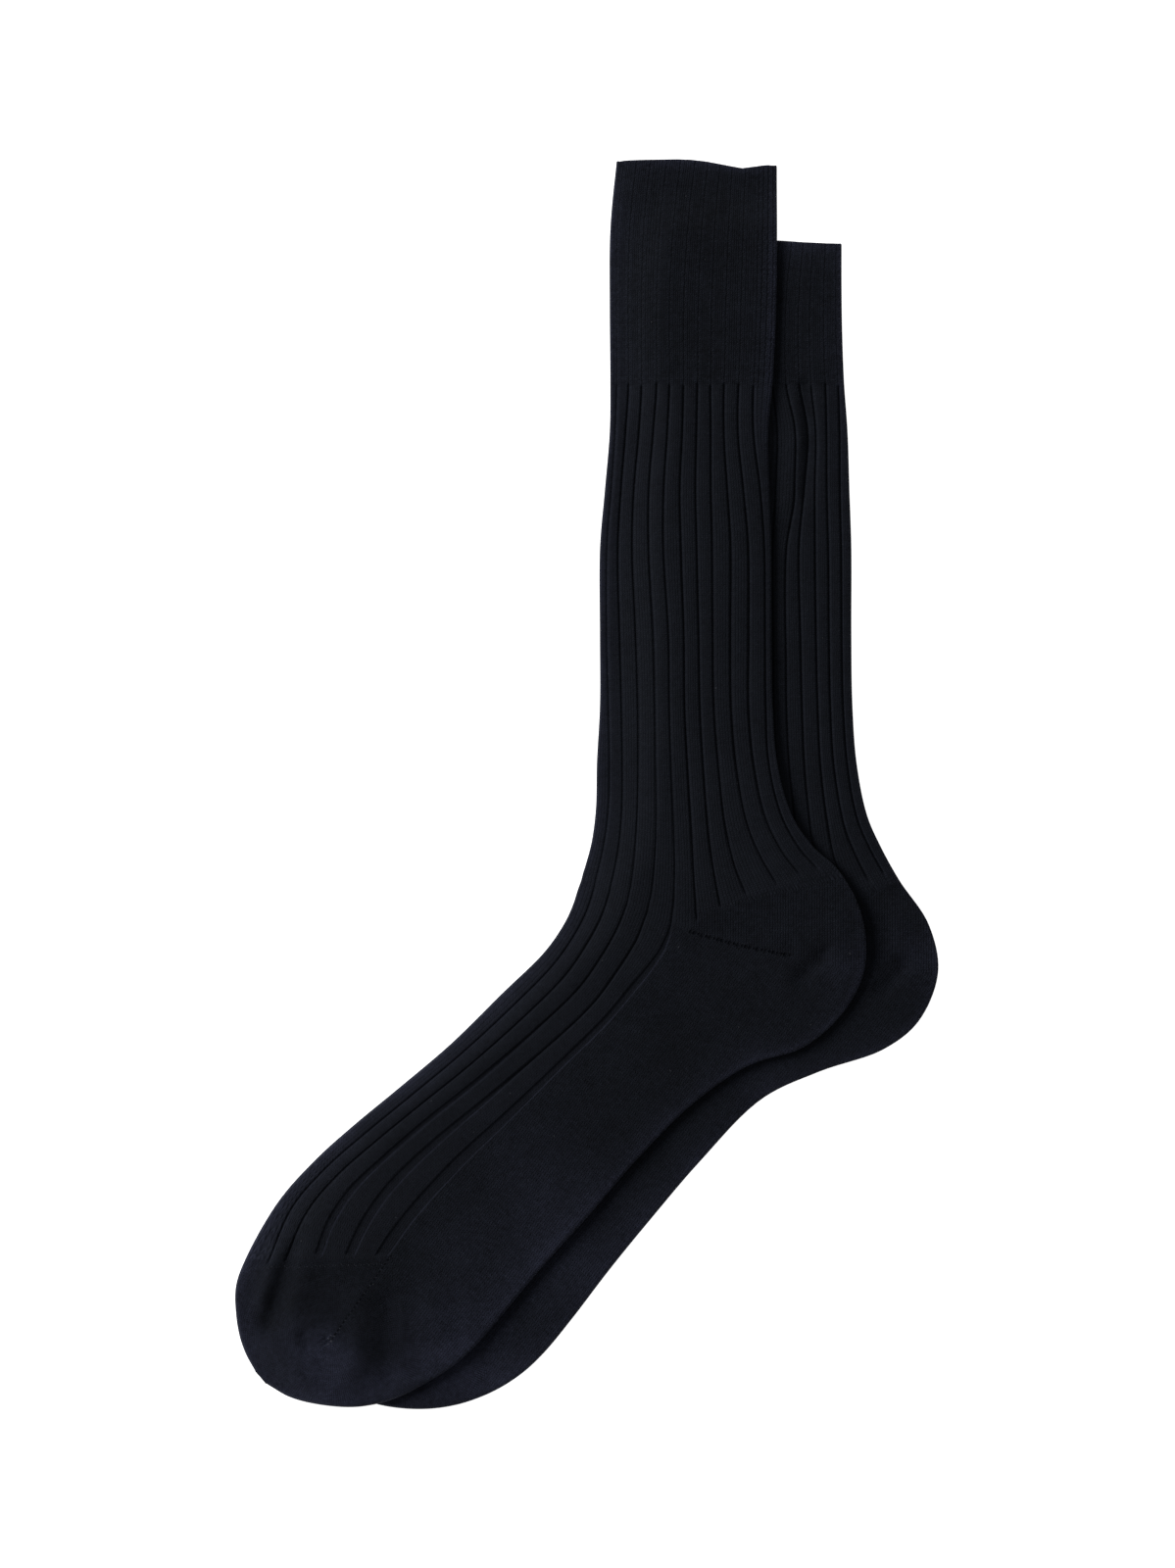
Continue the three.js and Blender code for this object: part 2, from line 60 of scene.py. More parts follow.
# A section of a sock, from its mouth to its toe's tip: front x y, middle x y, back x y
upperSections = [
    (10.8, 229.6, 38.2, 230, 69.8, 228.2), (8.5, 203.2, 35.3, 203.2, 69.8, 203.2),
    (8.3, 176.2, 33.8, 176.2, 69.5, 176.2), (8.5, 147.8, 33.8, 147.8, 68.2, 147.8),
    (8.3, 129.4, 33.1, 129.4, 66.6, 129.4), (6.5, 107.8, 32, 107.8, 67, 107.8),
    (4.7, 86.2, 32, 86.2, 67.7, 86.2), (4.7, 53.8, 33.8, 53.8, 67.7, 53.8),
    (4.7, 28.6, 34, 27.9, 68.2, 28.6), (3.6, 7.7, 34.9, 5.6, 69.8, 7.7),
    (3.2, -9.5, 36.2, -16.7, 74.9, -11), (1.6, -21.8, 37.1, -33.3, 82.4, -22.5),
    (-0.7, -30.4, 37.4, -47.7, 92.9, -32.6), (-1.4, -32.6, 37.3, -50.2, 100.8, -48.4),
    (-2.2, -35.6, 37.1, -53.5, 101.9, -67.9), (-3.5, -39.3, 34.2, -57.8, 94.3, -83.7),
    (-5.1, -44.3, 28.8, -63.9, 79.6, -96.7), (-8.3, -51.3, 19.8, -73.6, 59.4, -103.5),
    (-15.5, -61.7, 7.9, -87.7, 38.9, -117.5), (-31.3, -77.2, -9.7, -104.9, 17.6, -138.8),
    (-50, -95.6, -28.1, -122.2, 0, -159.3), (-69.1, -111.8, -46.8, -139.9, -16.9, -178),
    (-85.7, -125.5, -60.8, -156.1, -31.3, -195.3), (-99.7, -138.1, -67.7, -165.1, -42.8, -208.3),
    (-113.4, -153.5, -70.6, -170.1, -50, -214.4), (-125.6, -174.8, -72.4, -174.1, -58, -219.4),
    (-129.1, -184.8, -77.4, -181.3, -70.3, -225.7), (-129.1, -194.6, -84.6, -191, -83.9, -228.8),
    (-127.7, -203.3, -91.8, -201.4, -98.6, -228), (-125.4, -209.8, -103.3, -211.5, -109.4, -225.4),
    (-122.4, -215.3, -119.9, -217.8, -117.5, -220.9),
]
lowerSections = [
    (35.3, 198.2, 62.6, 198.5, 93.6, 198.2), (32.9, 183.4, 59.8, 183.4, 93.6, 183.4),
    (32.8, 167.2, 58.3, 167.2, 93.8, 167.2), (32.9, 147.8, 58.3, 147.8, 94.5, 147.8),
    (36.7, 128.3, 61.6, 128.3, 95.8, 129.4), (34.9, 106.7, 60.5, 106.7, 96.5, 107.8),
    (33.1, 85.1, 60.5, 85.1, 97.2, 86.2), (33.1, 52.7, 62.3, 52.7, 97.2, 53.8),
    (33.1, 27.5, 62.5, 26.8, 97.6, 28.6), (32, 6.7, 63.4, 4.5, 99.2, 7),
    (31.7, -10.6, 64.6, -17.8, 103, -11.7), (28.3, -22.9, 63.7, -34.4, 108, -23.2),
    (25.9, -31.5, 64.1, -48.8, 114.8, -35.5), (25.2, -33.7, 63.9, -51.3, 125.6, -51.7),
    (22.7, -36.5, 62.3, -54.5, 129.1, -69.3), (21.2, -40.1, 59.4, -58.9, 122, -87.3),
    (19.6, -45.2, 54, -65, 109.1, -97.7), (16.9, -52.4, 45, -74.7, 85.3, -106),
    (9.7, -62.8, 33.1, -88.7, 64.1, -116.1), (-6.1, -78.3, 15.5, -106, 41.4, -139.1),
    (-24.8, -96.7, -2.9, -123.3, 23.8, -159.7), (-43.9, -112.9, -21.6, -140.9, 8.3, -178.7),
    (-60.5, -126.5, -35.6, -157.1, -5.6, -196.9), (-74.5, -139.1, -42.5, -166.1, -16.2, -209.7),
    (-88.2, -154.6, -45.4, -171.2, -24.5, -217.3), (-100.4, -175.9, -47.2, -175.1, -34.9, -223.7),
    (-103.5, -185.9, -52.2, -182.3, -47.9, -228.4), (-103.9, -195.7, -59.4, -192.1, -60.8, -230),
    (-102.2, -204.3, -66.6, -202.5, -74.5, -228.8), (-100.1, -210.8, -78.1, -212.6, -83.9, -225.9),
    (-97.2, -215.8, -94.3, -218.7, -91.5, -222),
]

# Creases: start x y, end x y, half width, rise (below 0 a trough)
upperCreases = [
    (-107, -169.5, -110.4, -180, 2.2, -1.1), (-110.4, -180, -113.6, -191, 3.6, -1.75),
    (-113.6, -191, -117.3, -198.5, 3.4, -1.6), (-113.8, -172, -119.6, -189.5, 3.1, 1.15),
    (-103, -178, -107, -194, 4.2, 0.6),
    (-71.5, -190, -72.5, -217, 5.4, -1.75), (-84, -190, -86, -214, 5.2, 1.4),
    (-56, -186, -57, -210, 5.5, 0.35), (-64.5, -190, -65.5, -214, 6.5, -1.25),
    (-92, -182, -86, -188, 5, 0.3), (-49.5, -192, -48, -202, 4, -0.5),
    (-104.3, -202.5, -102.6, -207.8, 1.7, -1.05), (-102.6, -207.8, -96.4, -213.2, 1.8, -0.8),
    (-96.7, -203.4, -95.8, -205, 0.95, -1.1), (-93.6, -202.5, -91.2, -206.5, 2, 0.65),
    (-117, -206, -108, -217, 4, 0.55), (-99, -196, -106, -199, 3.5, 0.4),
    (74, -58.5, 75, -60, 2, -0.9), (87.4, -62.4, 78.6, -71.6, 2.9, -1.75),
    (74.5, -53, 83, -56, 4, 0.6), (93, -59, 96, -76, 6, 0.75), (70, -66, 72, -76, 5, 0.4),
    (69, -33, 79, -36, 2.6, -0.3), (66, -74, 78, -84, 7, 0.3),
    (42, -62, 34, -74, 6, -0.25), (60, -64, 50, -84, 8, 0.25),
    (20, -92, -20, -132, 9, 0.3), (-36, -150, -58, -176, 8, -0.2),
    (16, 178, 20, 214, 9, 0.1), (60, 170, 58, 210, 9, 0.1),
]
lowerCreases = [
    (80.4, 147, 81.6, 126, 2.3, -0.95), (81.6, 126, 80.4, 106, 2.3, -0.85),
    (75.5, 140, 77.5, 126, 3, 0.5), (77.5, 126, 74, 104, 3, 0.5), (87, 142, 87, 104, 2.6, 0.3),
    (117, -66.5, 108.4, -75.8, 3, -1.6), (117, -50, 122, -66, 5, 0.45),
    (104, -78, 112, -86, 6, 0.3), (98, -45, 104, -62, 4.5, -0.4),
    (66, -116, 74, -112, 4, 0.35), (22, -166, 14, -176, 5, -0.25),
    (-38, -205, -30, -222, 6, -0.4), (-60, -200, -62, -224, 7, 0.4),
]
# Patches of painted light, paler and bluer, and of painted shade below 0: x y, radius, strength
paintedLightPatches = [
    (-94, -219, 13, 0.5), (-119, -199, 12, 0.35), (-105, -212, 13, 0.45), (-98, -206, 8, 0.3),
    (-88, -211, 5, 0.25), (-113.5, -189, 4.5, -0.6), (-117, -197.5, 4, -0.6), (-74, -212, 7, -0.3),
    (-64, -217, 12, 0.2), (-50, -195, 14, 0.22), (-21, -140, 24, 0.16), (-46, -166, 15, 0.14),
    (-7, -168, 25, 0.5), (-34, -196, 18, 0.5), (-50, -216, 18, 0.8), (-72, -224, 12, 0.8),
    (96, -67, 8, 0.35), (121, -62, 11, 0.35), (60, -106, 14, 0.15), (12, 205, 10, 0.08),
]

upperSock = {
    "name": "upper-sock", "sections": upperSections, "creases": upperCreases,
    "nodes": ["upper-cuff", "upper-leg", "upper-heel", "upper-foot", "upper-toe"],
    # how far past its section each back groove runs on into the heel, and each front one into the toe
    "heelRuns": (3.6, 1.4, -0.7, -1.6, -2.6, -3.4),
    "toeRuns": (2.4, 1.4, -1.6, -1.2, -1.0),
    # where the back grooves lie at each section from the leg's top, as parts of the back half's width
    "backGrooves": [
        (0.05, 0.2, 0.34, 0.485, 0.64, 0.8), (0.06, 0.215, 0.372, 0.515, 0.668, 0.838),
        (0.062, 0.226, 0.388, 0.56, 0.728, 0.905), (0.074, 0.235, 0.394, 0.585, 0.765, 0.93),
        (0.055, 0.215, 0.368, 0.56, 0.757, 0.935), (0.056, 0.22, 0.37, 0.556, 0.742, 0.928),
        (0.06, 0.224, 0.384, 0.57, 0.755, 0.914), (0.055, 0.212, 0.374, 0.575, 0.756, 0.908),
        (0.046, 0.205, 0.372, 0.59, 0.763, 0.9), (0.048, 0.208, 0.386, 0.6, 0.77, 0.893),
    ],
    # the mouth's edge: x, and how far above or below its section the cloth ends
    "hem": ((10, 14, 33, 44, 52, 57, 62, 66, 70), (-1.5, -1.1, -1.1, -1.7, -2.8, -3.4, -2.4, -1.5, -1.4)),
    "toeCentre": (-93.5, -204), "seed": 3,
}
lowerSock = {
    "name": "lower-sock", "sections": lowerSections, "creases": lowerCreases,
    "nodes": ["lower-cuff", "lower-leg", "lower-heel", "lower-foot", "lower-toe"],
    "heelRuns": (3.0, 1.2, -0.5, -1.4, -2.2, -3.0),
    "toeRuns": (1.6, 1.0, -1.8, -1.4, -1.0),
    "backGrooves": [
        (0.26, 0.41, 0.545, 0.665, 0.81, 0.94), (0.245, 0.44, 0.57, 0.66, 0.775, 0.916),
        (0.24, 0.44, 0.535, 0.648, 0.77, 0.905), (0.2, 0.348, 0.475, 0.638, 0.77, 0.9),
        (0.17, 0.31, 0.466, 0.63, 0.766, 0.9), (0.165, 0.31, 0.474, 0.638, 0.77, 0.904),
        (0.165, 0.308, 0.465, 0.63, 0.766, 0.905), (0.16, 0.304, 0.455, 0.62, 0.766, 0.902),
        (0.16, 0.306, 0.456, 0.615, 0.784, 0.914), (0.16, 0.308, 0.458, 0.62, 0.805, 0.928),
    ],
    "hem": ((60, 70, 80, 88, 94), (0.2, 0.5, 0, -0.2, 0)),
    "toeCentre": (-68.3, -205), "seed": 8,
}
# Where the front grooves lie at each section from the leg's top, as parts of the front half's width
frontGrooves = [
    (0.1, 0.272, 0.462, 0.68, 0.866), (0.088, 0.242, 0.44, 0.652, 0.86),
    (0.1, 0.24, 0.426, 0.64, 0.855), (0.1, 0.248, 0.44, 0.662, 0.86),
    (0.092, 0.256, 0.46, 0.68, 0.87), (0.112, 0.276, 0.484, 0.695, 0.875),
    (0.152, 0.304, 0.49, 0.694, 0.874), (0.142, 0.292, 0.464, 0.676, 0.87),
    (0.128, 0.278, 0.45, 0.655, 0.864), (0.124, 0.269, 0.44, 0.636, 0.853),
    (0.125, 0.268, 0.438, 0.629, 0.849), (0.127, 0.268, 0.436, 0.623, 0.846),
    (0.138, 0.28, 0.45, 0.642, 0.875), (0.146, 0.295, 0.474, 0.684, 0.912),
    (0.154, 0.312, 0.505, 0.724, 0.93), (0.163, 0.33, 0.527, 0.746, 0.93),
    (0.178, 0.338, 0.515, 0.732, 0.932), (0.157, 0.305, 0.466, 0.68, 0.93),
    (0.144, 0.275, 0.425, 0.635, 0.92), (0.13, 0.25, 0.398, 0.606, 0.906),
    (0.12, 0.236, 0.388, 0.632, 0.908), (0.124, 0.246, 0.424, 0.664, 0.902),
    (0.17, 0.282, 0.47, 0.682, 0.892),
]
# Where a front groove opens into a channel on the instep: sections and widths
channels = {
    2: ((18.6, 20, 22, 23.5, 25), (0, 1.1, 1.5, 2.5, 2.7)),
    3: ((19.2, 20.5, 22, 25), (0, 1.9, 3.1, 3.2)),
    4: ((14.3, 15.5, 17, 19, 21, 25), (0, 1.3, 2.4, 2.1, 4.0, 4.3)),
}


def throughPoints(points, rows):
    # centripetal Catmull-Rom curve through the points, at section numbers with parts between
    points = np.asarray(points, float)
    points = np.vstack([2 * points[0] - points[1], points, 2 * points[-1] - points[-2]])
    low = np.minimum(np.floor(rows).astype(int), len(points) - 4)
    p0, p1, p2, p3 = (points[low + i] for i in range(4))
    w = (rows - low)[:, None]

    def knot(a, b):
        return np.maximum(((a - b) ** 2).sum(1), 1e-12)[:, None] ** 0.25

    d0, d1, d2 = knot(p0, p1), knot(p1, p2), knot(p2, p3)
    t1 = ((p1 - p0) / d0 - (p2 - p0) / (d0 + d1) + (p2 - p1) / d1) * d1
    t2 = ((p2 - p1) / d1 - (p3 - p1) / (d1 + d2) + (p3 - p2) / d2) * d1
    return p1 + t1 * w + (3 * (p2 - p1) - 2 * t1 - t2) * w**2 + (2 * (p1 - p2) + t1 + t2) * w**3


def throughValues(values, rows):
    # a smooth line through single numbers, flat where they repeat
    values = np.asarray(values, float)
    slope = np.gradient(values)
    level = np.diff(values) == 0
    slope[np.append(True, level) | np.append(level, True)] = 0
    low = np.minimum(np.floor(rows).astype(int), len(values) - 2)
    w = rows - low
    a, b, sa, sb = values[low], values[low + 1], slope[low], slope[low + 1]
    return a + sa * w + (3 * (b - a) - 2 * sa - sb) * w**2 + (2 * (a - b) + sa + sb) * w**3


def smooth(x):
    x = np.clip(x, 0, 1)
    return x * x * (3 - 2 * x)


def ramp(x, start, span):
    return smooth((x - start) / span)


def softNoise(x, y, size, seed):
    # value noise from a fixed random lattice, -1 to 1
    grid = np.random.default_rng(seed).uniform(-1, 1, (64, 64))
    u, v = x / size + 31.7, y / size + 17.3
    i, j = np.floor(u).astype(int), np.floor(v).astype(int)
    fu, fv = smooth(u - i), smooth(v - j)

    def at(a, b):
        return grid[a % 64, b % 64]

    low = at(i, j) * (1 - fu) + at(i + 1, j) * fu
    high = at(i, j + 1) * (1 - fu) + at(i + 1, j + 1) * fu
    return low * (1 - fv) + high * fv


def toSegment(x, y, ax, ay, bx, by):
    dx, dy = bx - ax, by - ay
    part = np.clip(((x - ax) * dx + (y - ay) * dy) / max(dx * dx + dy * dy, 1e-9), 0, 1)
    return np.hypot(x - ax - part * dx, y - ay - part * dy)


def outlineOf(sections, step=0.25):
    rows = np.arange(0, toeTip + step / 2, step)
    sections = np.asarray(sections, float)
    front = throughPoints(sections[:, 0:2], rows)
    back = throughPoints(sections[:, 4:6], rows)
    return np.vstack([back, front[::-1]])


def reachToOutline(outline, x, y):
    # distance to the outline, and whether a place is inside it
    inside = np.zeros(x.shape, bool)
    nearest = np.full(x.shape, 1e9)
    for (ax, ay), (bx, by) in zip(outline, np.roll(outline, -1, 0)):
        if ay != by:
            inside ^= ((ay > y) != (by > y)) & (x < (bx - ax) * (y - ay) / (by - ay) + ax)
        nearest = np.minimum(nearest, toSegment(x, y, ax, ay, bx, by))
    return nearest, inside


lowerOutline = outlineOf(lowerSections)


def upperGround(x, y):
    # the upper sock lies on the lower one, drapes to the floor beside it, and stands off at ankle and heel
    away, inside = reachToOutline(lowerOutline, x, y)
    away = np.where(inside, 0, away) - cloth["drapeLead"]
    bulge = 1.6 * np.exp(-(((x - 74) / 13) ** 2) - ((y + 4) / 40) ** 2)
    bulge = bulge + 1.9 * np.exp(-(((x - 100) / 17) ** 2) - ((y + 42) / 24) ** 2)
    return (laidHeight + cloth["gap"]) * (1 - smooth(away / cloth["drape"])) + bulge


def lowerGround(x, y):
    # the lower sock lies on the flat floor
    return np.zeros(x.shape)


class Laid:
    # A sock's sections at the given rows: edges, middle line, and where its grooves are
    def __init__(self, sock, rows):
        s = np.asarray(sock["sections"], float)
        self.rows = rows
        step = 0.05
        self.middle = throughPoints(s[:, 2:4], rows)
        self.edge, self.across, self.length, self.out = {}, {}, {}, {}
        self.foldReach, self.foldSize = {}, {}
        for side, k in (("front", 0), ("back", 4)):
            line = s[:, k:k + 2]
            edge = throughPoints(line, rows)
            along = throughPoints(line, np.minimum(rows + step, toeTip))
            along -= throughPoints(line, np.maximum(rows - step, 0))
            along /= np.linalg.norm(along, axis=1)[:, None]
            across = self.middle - edge
            length = np.linalg.norm(across, axis=1)
            across /= length[:, None]
            out = np.stack([along[:, 1], -along[:, 0]], 1)
            out *= -np.sign((out * across).sum(1))[:, None]
            self.edge[side], self.across[side] = edge, across
            self.length[side], self.out[side] = length, out
        # the folds get narrower where they would meet, at the toe's tip
        self.whole = self.length["front"] + self.length["back"]
        for side in ("front", "back"):
            slant = np.abs((self.across[side] * self.out[side]).sum(1))
            self.foldReach[side] = np.minimum(foldRadius / slant, 0.15 * self.whole)
            self.foldSize[side] = self.foldReach[side] * slant
        # reach of each groove from the front edge, across the whole width
        self.grooves = [self.grooveReach(part, "front") for part in zip(*frontGrooves)]
        for part in zip(*sock["backGrooves"]):
            self.grooves.append(self.length["front"] + self.grooveReach(part, "back"))

    def grooveReach(self, part, side):
        # past the ends of its table a groove keeps its part of the width
        part = np.pad(part, (legTop, toeTip + 1 - legTop - len(part)), mode="edge")
        return throughValues(part, self.rows) * self.length[side]


def channelWidth(g, rows):
    # a groove's flat floor, eased where it starts to open
    if g not in channels:
        return np.zeros(rows.shape)
    wide = np.interp(rows, *channels[g])
    ease = np.exp(-np.linspace(-2, 2, 9) ** 2)
    return np.convolve(np.pad(wide, 4, mode="edge"), ease / ease.sum(), mode="valid")


def stations(laid, lefts, plateau, top):
    # Columns across one layer, as reach from the front edge, with the wale number of each
    rows = laid.rows
    centre = np.array(laid.grooves)
    width = np.array([channelWidth(g, rows) for g in range(len(centre))])
    low, high = laid.foldReach["front"], laid.whole - laid.foldReach["back"]
    window = 1.8 * cloth["grooveHalf"]
    grooveWale = [4 + 5 * g for g in range(len(centre))]
    # the wide ribs of the instep hold more wales, counted from each rib's middle
    ribWidth = centre - np.vstack([low, centre[:-1] + width[:-1]])
    finer = np.ones(centre.shape)
    if top:
        wider = np.clip(ribWidth / 5.6, 1, 3) * (1 + 0.35 * ramp(rows, 14, 6))
        finer += (wider - 1) * ramp(rows, 4, 3)
    finer = np.vstack([finer, np.ones(rows.shape)])
    finer[0] = finer[-1] = 1
    places, wales = [low], [np.full(rows.shape, 1.0)]

    def add(g, place, wale):
        middle = 5 * g + 1.5
        places.append(place)
        wales.append(middle + (wale - middle) * finer[g])

    previous, previousWale = low, 1.0
    count = len(centre)
    for g in range(count):
        after = high if g == count - 1 else centre[g + 1]
        left = np.minimum(window, 0.45 * (centre[g] - previous))
        right = np.minimum(window, 0.4 * (after - centre[g] - width[g]))
        start = centre[g] - left
        for p in plateau[1::2] if g == 0 else plateau:
            wale = previousWale + (grooveWale[g] - 0.8 - previousWale) * p
            add(g, previous + (start - previous) * p, wale)
        for p in lefts:
            add(g, centre[g] - left * p, grooveWale[g] - 0.8 * p)
        floor = [width[g] / 2]
        if top and g in channels:
            inset = 0.28 * smooth(width[g] / 1.2) - 0.03
            floor = [inset, floor[0], width[g] - inset]
        for reach in floor:
            add(g, centre[g] + reach, grooveWale[g] + 5 * reach / ribWidth[g])
        for p in lefts[::-1]:
            add(g + 1, centre[g] + width[g] + right * p, grooveWale[g] + 0.8 * p)
        previous, previousWale = places[-1], grooveWale[g] + 0.8
    places += [previous + (high - previous) * 0.5, high]
    lastWale = cloth["faceWales"]
    wales += [np.full(rows.shape, 0.5 * (previousWale + lastWale)), np.full(rows.shape, lastWale)]
    # past the ribs' ends the columns spread out evenly, so that they reach the toe's tip in order
    even = low + (high - low) * np.linspace(0, 1, len(places))[:, None]
    spread = smooth((rows - toeTop - 0.4) / 2.2)
    places = np.array(places) * (1 - spread) + even * spread
    return places.T, np.array(wales).T, centre.T, width.T


def planOf(laid, places):
    # plan position of each place, rows by columns
    onFront = places <= laid.length["front"][:, None]
    reach = np.where(onFront, places, laid.whole[:, None] - places)
    spots = []
    for k in (slice(0, 1), slice(1, 2)):
        fromFront, fromBack = (laid.edge[s][:, k] + laid.across[s][:, k] * reach for s in ("front", "back"))
        spots.append(np.where(onFront, fromFront, fromBack))
    return spots


def rowsOf():
    # rows are closer together where ribs begin or end, and towards the toe's tip
    spans = [(0.02, 3), (legTop - 0.08, 30), (legTop + 0.12, 10), (heelTop - 0.35, 84), (heelTop + 1.3, 14),
             (heelEnd, 24), (toeTop - 0.5, 62), (toeTop + 0.35, 16), (toeTip, 34)]
    rows = [0.0]
    for end, count in spans:
        rows += list(np.linspace(rows[-1], end, count + 1)[1:])
    return np.array(rows)


def alongColumns(x, y):
    # length along each column from the mouth
    step = np.hypot(np.diff(x, axis=0), np.diff(y, axis=0))
    return np.pad(np.cumsum(step, 0), ((1, 0), (0, 0)))


def atRow(rows, values, row):
    i = np.clip(np.searchsorted(rows, row) - 1, 0, len(rows) - 2)
    part = (row - rows[i]) / (rows[i + 1] - rows[i])
    return values[i] * (1 - part) + values[i + 1] * part


def ribRelief(sock, laid, places, x, y, centre, width, depth, channelDepth):
    # how far below the crown each place lies, and 1 where the knit is plain
    along = alongColumns(x, y)
    rows = laid.rows[:, None]
    relief = np.zeros(places.shape)
    fade = cloth["ribFade"]
    begin, atHeel, atToe = (atRow(laid.rows, along, row) for row in (legTop, heelTop, toeTop))
    begin += 0.8
    for g in range(centre.shape[1]):
        here, wide = centre[:, g:g + 1], width[:, g:g + 1]
        away = np.maximum(np.maximum(here - places, places - here - wide), 0)
        opened = smooth(wide / 2.2)
        half = cloth["grooveHalf"] * (1 - opened) + cloth["channelHalf"] * opened
        own = (depth * (1 - opened) + channelDepth * opened) * (1 - smooth(away / half))
        own += cloth["shoulder"] * (1 - 0.6 * opened) * np.exp(-away / cloth["shoulderReach"])
        # the front grooves are shallow, the first one most of all, and get deeper on the foot
        onFoot = ramp(rows, 13, 4)
        if g == 0:
            own *= 0.55 + 0.37 * onFoot
        elif g < frontCount:
            own *= 1 - 0.28 * ramp(rows, 5, 4) * (1 - onFoot)
        if g < frontCount:
            end, endFade = atToe + sock["toeRuns"][g], fade
        else:
            end, endFade = atHeel + sock["heelRuns"][g - frontCount] + 0.8, cloth["heelFade"]
        starts = begin + 0.5 * math.sin(2.4 * g + sock["seed"])
        relief = np.maximum(relief, own * ramp(along, starts, fade) * ramp(end, along, endFade))
    # the ribs of the instep end at the last front groove, whose channel runs beside the sole
    lastFront = slice(frontCount - 1, frontCount)
    border = centre[:, lastFront] + width[:, lastFront] + 0.4
    border = np.where(rows < 14.2, laid.length["front"][:, None] + 1.5, border)
    side = smooth((places - border) / 1.2 + 0.5)
    cuff = 1 - ramp(along, begin, fade)
    toe = smooth((along - atToe + 1) / 3.2)
    heel = smooth((along - atHeel + 1.2) / 3.6) * side
    # a painted highlight, a thin pale line, runs along each channel's far wall, which faces the lamp
    litWallHighlight = np.zeros(places.shape)
    for g in channels:
        wide = width[:, g:g + 1]
        wall = centre[:, g:g + 1] + wide + 0.12
        line = np.exp(-(((places - wall) / 0.22) ** 2)) * smooth(wide / 1.2)
        litWallHighlight = np.maximum(litWallHighlight, 0.7 * line * ramp(atToe, along, fade))
    return relief, np.clip(cuff + toe + heel, 0, 1), litWallHighlight


def creaseRise(creases, x, y):
    # how far the creases lift or sink the cloth
    rise = np.zeros(x.shape)
    for ax, ay, bx, by, wide, high in creases:
        own = high * np.exp(-((toSegment(x, y, ax, ay, bx, by) / wide) ** 2))
        # troughs that meet don't add up
        both = np.minimum(own, rise) + 0.25 * np.maximum(own, rise)
        rise = np.where((own < 0) & (rise < 0), both, rise + own)
    return np.maximum(rise, -cloth["deepestCrease"])


def paintedLightOf(x, y, rim, rows, behind):
    # 0 to 1: painted light, a painted sheen towards the outline, most of all on the foot and weaker along
    #         the leg's back edge away from the lamp, and painted light and shade in a few patches
    foot = ramp(rows, 15, 6)
    paintedLight = 0.5 * np.exp(-((rim / 1.9) ** 2)) + (0.2 + 0.22 * foot) * np.exp(-((rim / 7) ** 2))
    paintedLight *= 1 - 0.85 * behind * ramp(rows, 3, 2) * (1 - ramp(rows, 12.5, 2))
    for cx, cy, radius, strength in paintedLightPatches:
        paintedLight += strength * np.exp(-((x - cx) ** 2 + (y - cy) ** 2) / radius**2)
    return np.clip(paintedLight, 0, 1)


def layerOf(sock, laid, ground, outline, top):
    # one layer of the sock lying flat: its outer face and, straight below or above it, its inner face
    seed = sock["seed"]
    columns = ((1, 0.7, 0.45, 0.22, 0.05), (0.25, 0.5, 0.75)) if top else ((0.6,), (0.33, 0.67))
    places, wale, centre, width = stations(laid, *columns, top)
    x, y = planOf(laid, places)
    # the mouth's edge waves a little
    y = y + np.interp(x, *sock["hem"]) * np.exp(-((laid.rows[:, None] / 0.3) ** 2))
    depth = (cloth["grooveDepth"], cloth["channelDepth"]) if top else (cloth["underDepth"], 0.3)
    relief, plain, litWallHighlight = ribRelief(sock, laid, places, x, y, centre, width, *depth)
    rim, _ = reachToOutline(outline, x, y)
    rows = laid.rows[:, None]
    whole = laid.whole[:, None]
    behind = smooth(places / whole * 4 - 2)
    paintedLight = np.maximum(paintedLightOf(x, y, rim, rows, behind), 0.75 * litWallHighlight)
    hem = alongColumns(x, y)
    # a painted highlight along the hem's rolled edge
    paintedLight = np.maximum(paintedLight, 0.7 * np.exp(-((hem / 0.8) ** 2)))
    lift = ground(x, y)
    if top:
        rise = cloth["ribRise"] * (1 - plain) + cloth["plainRise"] * plain - relief
        toEdge = np.minimum(places, whole - places)
        ankle = ramp(rows, 7, 2) * (1 - ramp(rows, 12, 2)) * behind
        drop = cloth["edgeDrop"] * (1 + 0.7 * ankle) * (1 - ramp(rows, 16, 5))
        rise -= drop * np.exp(-toEdge / (cloth["edgeReach"] * (1 + 0.3 * ankle)))
        rise += creaseRise(sock["creases"], x, y) * smooth(rim / 5)
        rise += (0.11 * softNoise(x, y, 17, seed) + 0.05 * softNoise(x, y, 6, seed + 1)) * smooth(rim / 4)
        rise += 0.025 * softNoise(x, y, 2.4, seed + 2)
        rise -= 0.28 * np.exp(-(((hem - 1.6) / 0.5) ** 2))  # the row of stitches under the hem
        z = lift + 2 * foldRadius + rise
        inner = np.clip(z - 0.6, lift + foldRadius - 0.15, lift + foldRadius + cloth["hollow"] / 2)
    else:
        z = lift + relief
        inner = lift + foldRadius - cloth["hollow"] / 2
        wale = cloth["roundWales"] - wale
    return {"x": x, "y": y, "z": z, "innerX": x, "innerY": y, "innerZ": inner,
            "wale": wale, "relief": relief, "plain": plain, "paintedLight": paintedLight}


# the coordinates of a layer's two faces, and the turns of the toe's end and of the hem in degrees
outerKeys, innerKeys = ("x", "y", "z"), ("innerX", "innerY", "innerZ")
toeTurns, hemTurns = (22, 42, 60, 76), (180, 144, 108, 72, 36)


